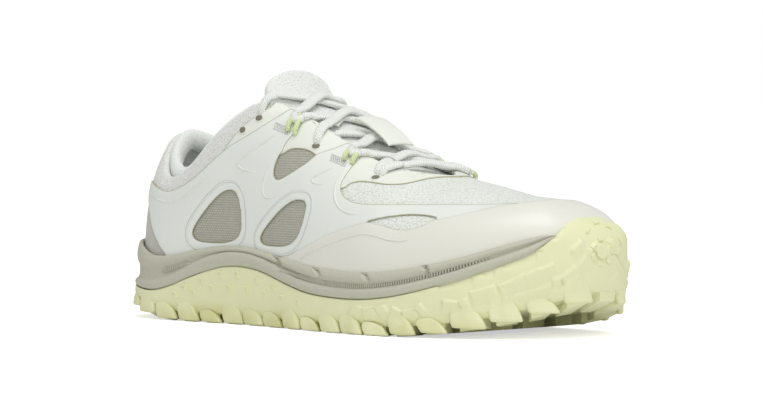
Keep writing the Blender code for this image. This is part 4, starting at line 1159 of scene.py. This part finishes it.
# Cord loops: round braided cord that comes out of the overlay and holds the lace's bend,
# two on the lateral side and five on the medial side, each a piece of its own.
LIME = (0.82, 0.92, 0.52)
CORD_THICK = 0.0024
LOOP_PLACES_MM = (
    # along, outward, lift
    (-2.2, 4.5, -0.9), (-2.2, 4.1, 0.5), (-2.1, 2.4, 1.1), (-1.6, 0.2, 0.4), (0.0, -1.2, -0.2),
    (1.6, 0.2, 0.4), (2.1, 2.4, 1.1), (2.2, 4.1, 0.5), (2.2, 4.5, -0.9))
cord_paint = new_paint("loop_cord")
turns = cord_paint.math("ADD", cord_paint.math("MULTIPLY", cord_paint.read("along"), 6500),
                        cord_paint.math("MULTIPLY", cord_paint.read("across"), 5200))
twisted(cord_paint, turns, dim(LIME, 0.82), LIME, 0.0003, 0.8, Roughness=0.8)


def cord_loop(name, x, across):
    side = -1 if across < 0 else 1
    path, ups = [], []
    for along, outward, lift in rounded([tuple(v / 1000 for v in p) for p in LOOP_PLACES_MM], closed=False):
        hit, normal = over_shoe(x + along, across + side * outward)
        path.append(hit + normal * (lift + CORD_THICK / 2))
        ups.append(normal)
    bm = bmesh.new()
    sweep(bm, path, ups, CORD_THICK, CORD_THICK, sides=10)
    loop = finish_mesh(bm, "cord_" + name, cord_paint)
    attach(loop, "root")
    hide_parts("lace_loop_" + name)


for k, (lateral_end, medial_end) in enumerate(lace_ends):
    if k in LOOPED_LATERAL:
        cord_loop("lateral_%d" % (k + 1), *lateral_end)
    cord_loop("medial_%d" % (k + 1), *medial_end)

# Keeper: a strap sewn along the middle of the tongue, over the laces, which it holds down.
# It is bowed, so that both ends run down to the tongue.
KEEPER_BOW = 0.0026
KEEPER_WHITE = (0.84, 0.86, 0.78)
keeper_paint = film_paint("keeper_band", KEEPER_WHITE, OLIVE, 0.5)
keeper = finish_mesh(cad_cage("lace_keeper"), "keeper_band", keeper_paint)
rounder(bevelled(keeper, 0.0004, 50), 2)
points = per_vertex(keeper)
low_x, high_x = points[:, 0].min(), points[:, 0].max()
reach = np.abs(points[:, 0] - (low_x + high_x) / 2) / (high_x - low_x) * 2
points[:, 2] -= KEEPER_BOW * reach ** 2.5
move_to(keeper, points)
store(keeper, "cut", 1)
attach(keeper, "root")
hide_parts("lace_keeper")

# Keeper strap: the narrow end of the keeper that shows above the laces, laid on the
# tongue from the photograph's pixels.
STRAP_PX = (
    (261.9, 122.3), (267, 116), (274.1, 111.6), (280, 107.5), (286.4, 104.6), (293, 103.2), (300.2, 103.4))
STRAP_LIFT = 0.0022
STRAP_WIDE = 0.0052
STRAP_THICK = 0.0012
strap = bmesh.new()
path, ups = [], []
for spot in rounded(list(STRAP_PX), closed=False):
    hit, normal = on_skin(spot, shoe_tree)
    if hit is not None:
        path.append(hit + normal * STRAP_LIFT)
        ups.append(normal)
sweep(strap, path, ups, STRAP_WIDE, STRAP_THICK)
keeper_strap = finish_mesh(strap, "keeper_strap", keeper_paint)
store(keeper_strap, "cut", 1)
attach(keeper_strap, "root")

# Pressed beads: thin ridges moulded in the film, which follow its panels on both sides.
# The last line is the toe rand's, and the others are the side film's.
BEADS_PX = (
    [(80.5, 190.4), (88, 194.5), (95.7, 196.2), (104, 194), (113.6, 189.5), (127, 178.8), (137, 169)],
    [(203.5, 128.6), (191, 136.5), (179.5, 144.3), (168, 154), (164.7, 159.1), (172, 163.5), (185, 165.6)],
    [(263.7, 160.6), (252, 165), (243.3, 169.8), (238.7, 173.9), (244, 177), (255.5, 177.4)],
    [(199.4, 155.5), (196, 162), (193.3, 170.8), (190.7, 183.1), (192.2, 190.2), (198, 192), (204.5, 189.2)],
    [(266.7, 170.8), (263.5, 181), (263.2, 191.2), (266.7, 200.4), (275, 206), (287.1, 208.1)],
    [(229, 252.7), (238, 246), (248, 240.7), (259, 236), (270.4, 232.1), (281, 228.5), (293, 226.5),
     (303.3, 228.2), (316.5, 232.8), (328.8, 234.3), (342, 231.8)],
)
BEAD_WIDE = 0.0011
BEAD_TALL = 0.0007
BEAD_SPACING_PX = 3.0
NO_RIDGE_MM = 9.0
film_tree = tree_of(base, film, rand, eyestay)


def spaced(line, gap):
    """The same line with points a fixed gap apart."""
    made, carried = [line[0]], 0.0
    for (x0, y0), (x1, y1) in zip(line, line[1:]):
        size = math.hypot(x1 - x0, y1 - y0)
        while carried + gap <= size:
            carried += gap
            made.append((x0 + (x1 - x0) * carried / size, y0 + (y1 - y0) * carried / size))
        carried -= size
    return made


def laid(bm, line, wide, tall, sides=6, ends=0.35):
    """Half-round thread laid along a line of the photograph's pixels, on both sides of the shoe."""
    places = [both_sides(spot, film_tree) for spot in line]
    places = [place for place in places if place]
    for k in (0, 1):
        run = [place[k][0] for place in places]
        ups = [place[k][1] for place in places]
        if len(run) > 1:
            fade = [ends + (1 - ends) * min(1.0, min(i, len(run) - 1 - i) / 3) for i in range(len(run))]
            sweep(bm, run, ups, [wide * f for f in fade], [tall * f for f in fade], sides=sides)


for name, lines, paint, slot in (("film_beads", BEADS_PX[:-1], film_coat, "side_film"),
                                 ("rand_bead", BEADS_PX[-1:], rand_coat, "toe_film")):
    beads = bmesh.new()
    for line in lines:
        laid(beads, spaced(rounded(line, closed=False), BEAD_SPACING_PX), BEAD_WIDE, BEAD_TALL)
    bead = finish_mesh(beads, name, paint)
    store(bead, "cut", 1)
    store(bead, "ridge", NO_RIDGE_MM)
    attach(bead, "root")

# Stitches: zigzag tacks where each cord loop is sewn down, and short runs along the edge of
# the eyestay, all in pale grey thread.
TACKS_PX = ((203, 119.0, 219.5, 126.0), (259.5, 150.5, 275.5, 157.5))
TACK_HALF_PX = 2.6
TACK_TEETH = 8
STITCH_LINES_PX = (
    [(325.6, 162.8), (339.7, 164.5), (356.3, 164.9), (371, 165), (385.3, 165.3), (397.8, 167)],
    [(236, 112), (247, 119)],
    [(258, 124), (273, 134)],
    [(293, 145), (310, 155)],
)
STITCH_PX = 3.2
RAIL_OUT_PX = 0.6
RAIL_STEP_PX = 2.0
THREAD = 0.0005
THREAD_DARK = (0.56, 0.58, 0.54)
THREAD_PALE = (0.70, 0.72, 0.67)
thread_paint = new_paint("thread")
turns = thread_paint.math("MULTIPLY", thread_paint.read("along"), 9000)
twisted(thread_paint, turns, THREAD_DARK, THREAD_PALE, 0.0001, 0.6, Roughness=0.75)
stitches = bmesh.new()


def sewn(line):
    laid(stitches, line, THREAD, THREAD, sides=5, ends=1.0)


for x0, y0, x1, y1 in TACKS_PX:
    size = math.hypot(x1 - x0, y1 - y0)
    out_x, out_y = -(y1 - y0) / size, (x1 - x0) / size
    zigzag = []
    for i in range(TACK_TEETH * 2 + 1):
        share, swing = i / (TACK_TEETH * 2), TACK_HALF_PX * (1 if i % 2 else -1)
        zigzag.append((x0 + (x1 - x0) * share + out_x * swing, y0 + (y1 - y0) * share + out_y * swing))
    sewn(zigzag)
    for swing in (-TACK_HALF_PX - RAIL_OUT_PX, TACK_HALF_PX + RAIL_OUT_PX):
        rail = [(x0 + out_x * swing, y0 + out_y * swing), (x1 + out_x * swing, y1 + out_y * swing)]
        sewn(spaced(rail, RAIL_STEP_PX))
for line in STITCH_LINES_PX:
    marks_along = spaced(line, STITCH_PX)
    for a, b in list(zip(marks_along, marks_along[1:]))[::2]:
        sewn(spaced([a, b, (b[0] * 2 - a[0], b[1] * 2 - a[1])], STITCH_PX / 2)[:3])
loop_tacks = finish_mesh(stitches, "stitches", thread_paint)
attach(loop_tacks, "root")

# Eyelets: punched holes in the eyestay with a pressed rim; the lace dives into three of them
# and the rearmost stays free. Each hole is drawn as a flat dark disc on the film: painted
# shade inside the hole.
EYELETS_PX = ((171, 123.5), (187.5, 111.5), (244.5, 139.5), (304.5, 170.5))
EYELET_HALF = (0.0021, 0.0016)
EYELET_DEEP = 0.0003
EYELET_LIFT = 0.0001
EYELET_RIM = (0.0007, 0.0006)
EYELET_RIM_OUT = 1.12
# Painted shade of the holes: a dark tone with random paler patches
EYELET_SHADE_DARK = (0.16, 0.155, 0.11)
EYELET_SHADE_PALE = (0.25, 0.24, 0.18)
eyelet_shade_paint = new_paint("eyelet_painted_shade")
eyelet_shade_paint.shade(Base_Color=eyelet_shade_paint.blend(noise(eyelet_shade_paint, 900), EYELET_SHADE_DARK, EYELET_SHADE_PALE),
                   Roughness=0.9)
corners = round_points(24)
corners.append(corners[0])
holes, rims = bmesh.new(), bmesh.new()
for spot in EYELETS_PX:
    hit, normal = on_skin(spot, film_tree)
    level, rise = level_and_rise(normal)
    turn = Matrix((level, rise, normal)).transposed().to_4x4()
    size = Matrix.Diagonal((*EYELET_HALF, EYELET_DEEP, 1))
    # A flat dark disc on the film, as the painted shade inside the hole
    bmesh.ops.create_uvsphere(holes, u_segments=20, v_segments=8, radius=1,
                              matrix=Matrix.Translation(hit + normal * EYELET_LIFT) @ turn @ size)
    ring = [hit + (level * c * EYELET_HALF[0] + rise * s * EYELET_HALF[1]) * EYELET_RIM_OUT
            for c, s in corners]
    sweep(rims, ring, [normal] * len(ring), *EYELET_RIM, sides=6)
eyelet_shade_discs = finish_mesh(holes, "eyelet_shade_discs", eyelet_shade_paint)
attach(eyelet_shade_discs, "root")
eyelet_rims = finish_mesh(rims, "eyelet_rims", cream_coat)
store(eyelet_rims, "cut", 1)
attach(eyelet_rims, "root")
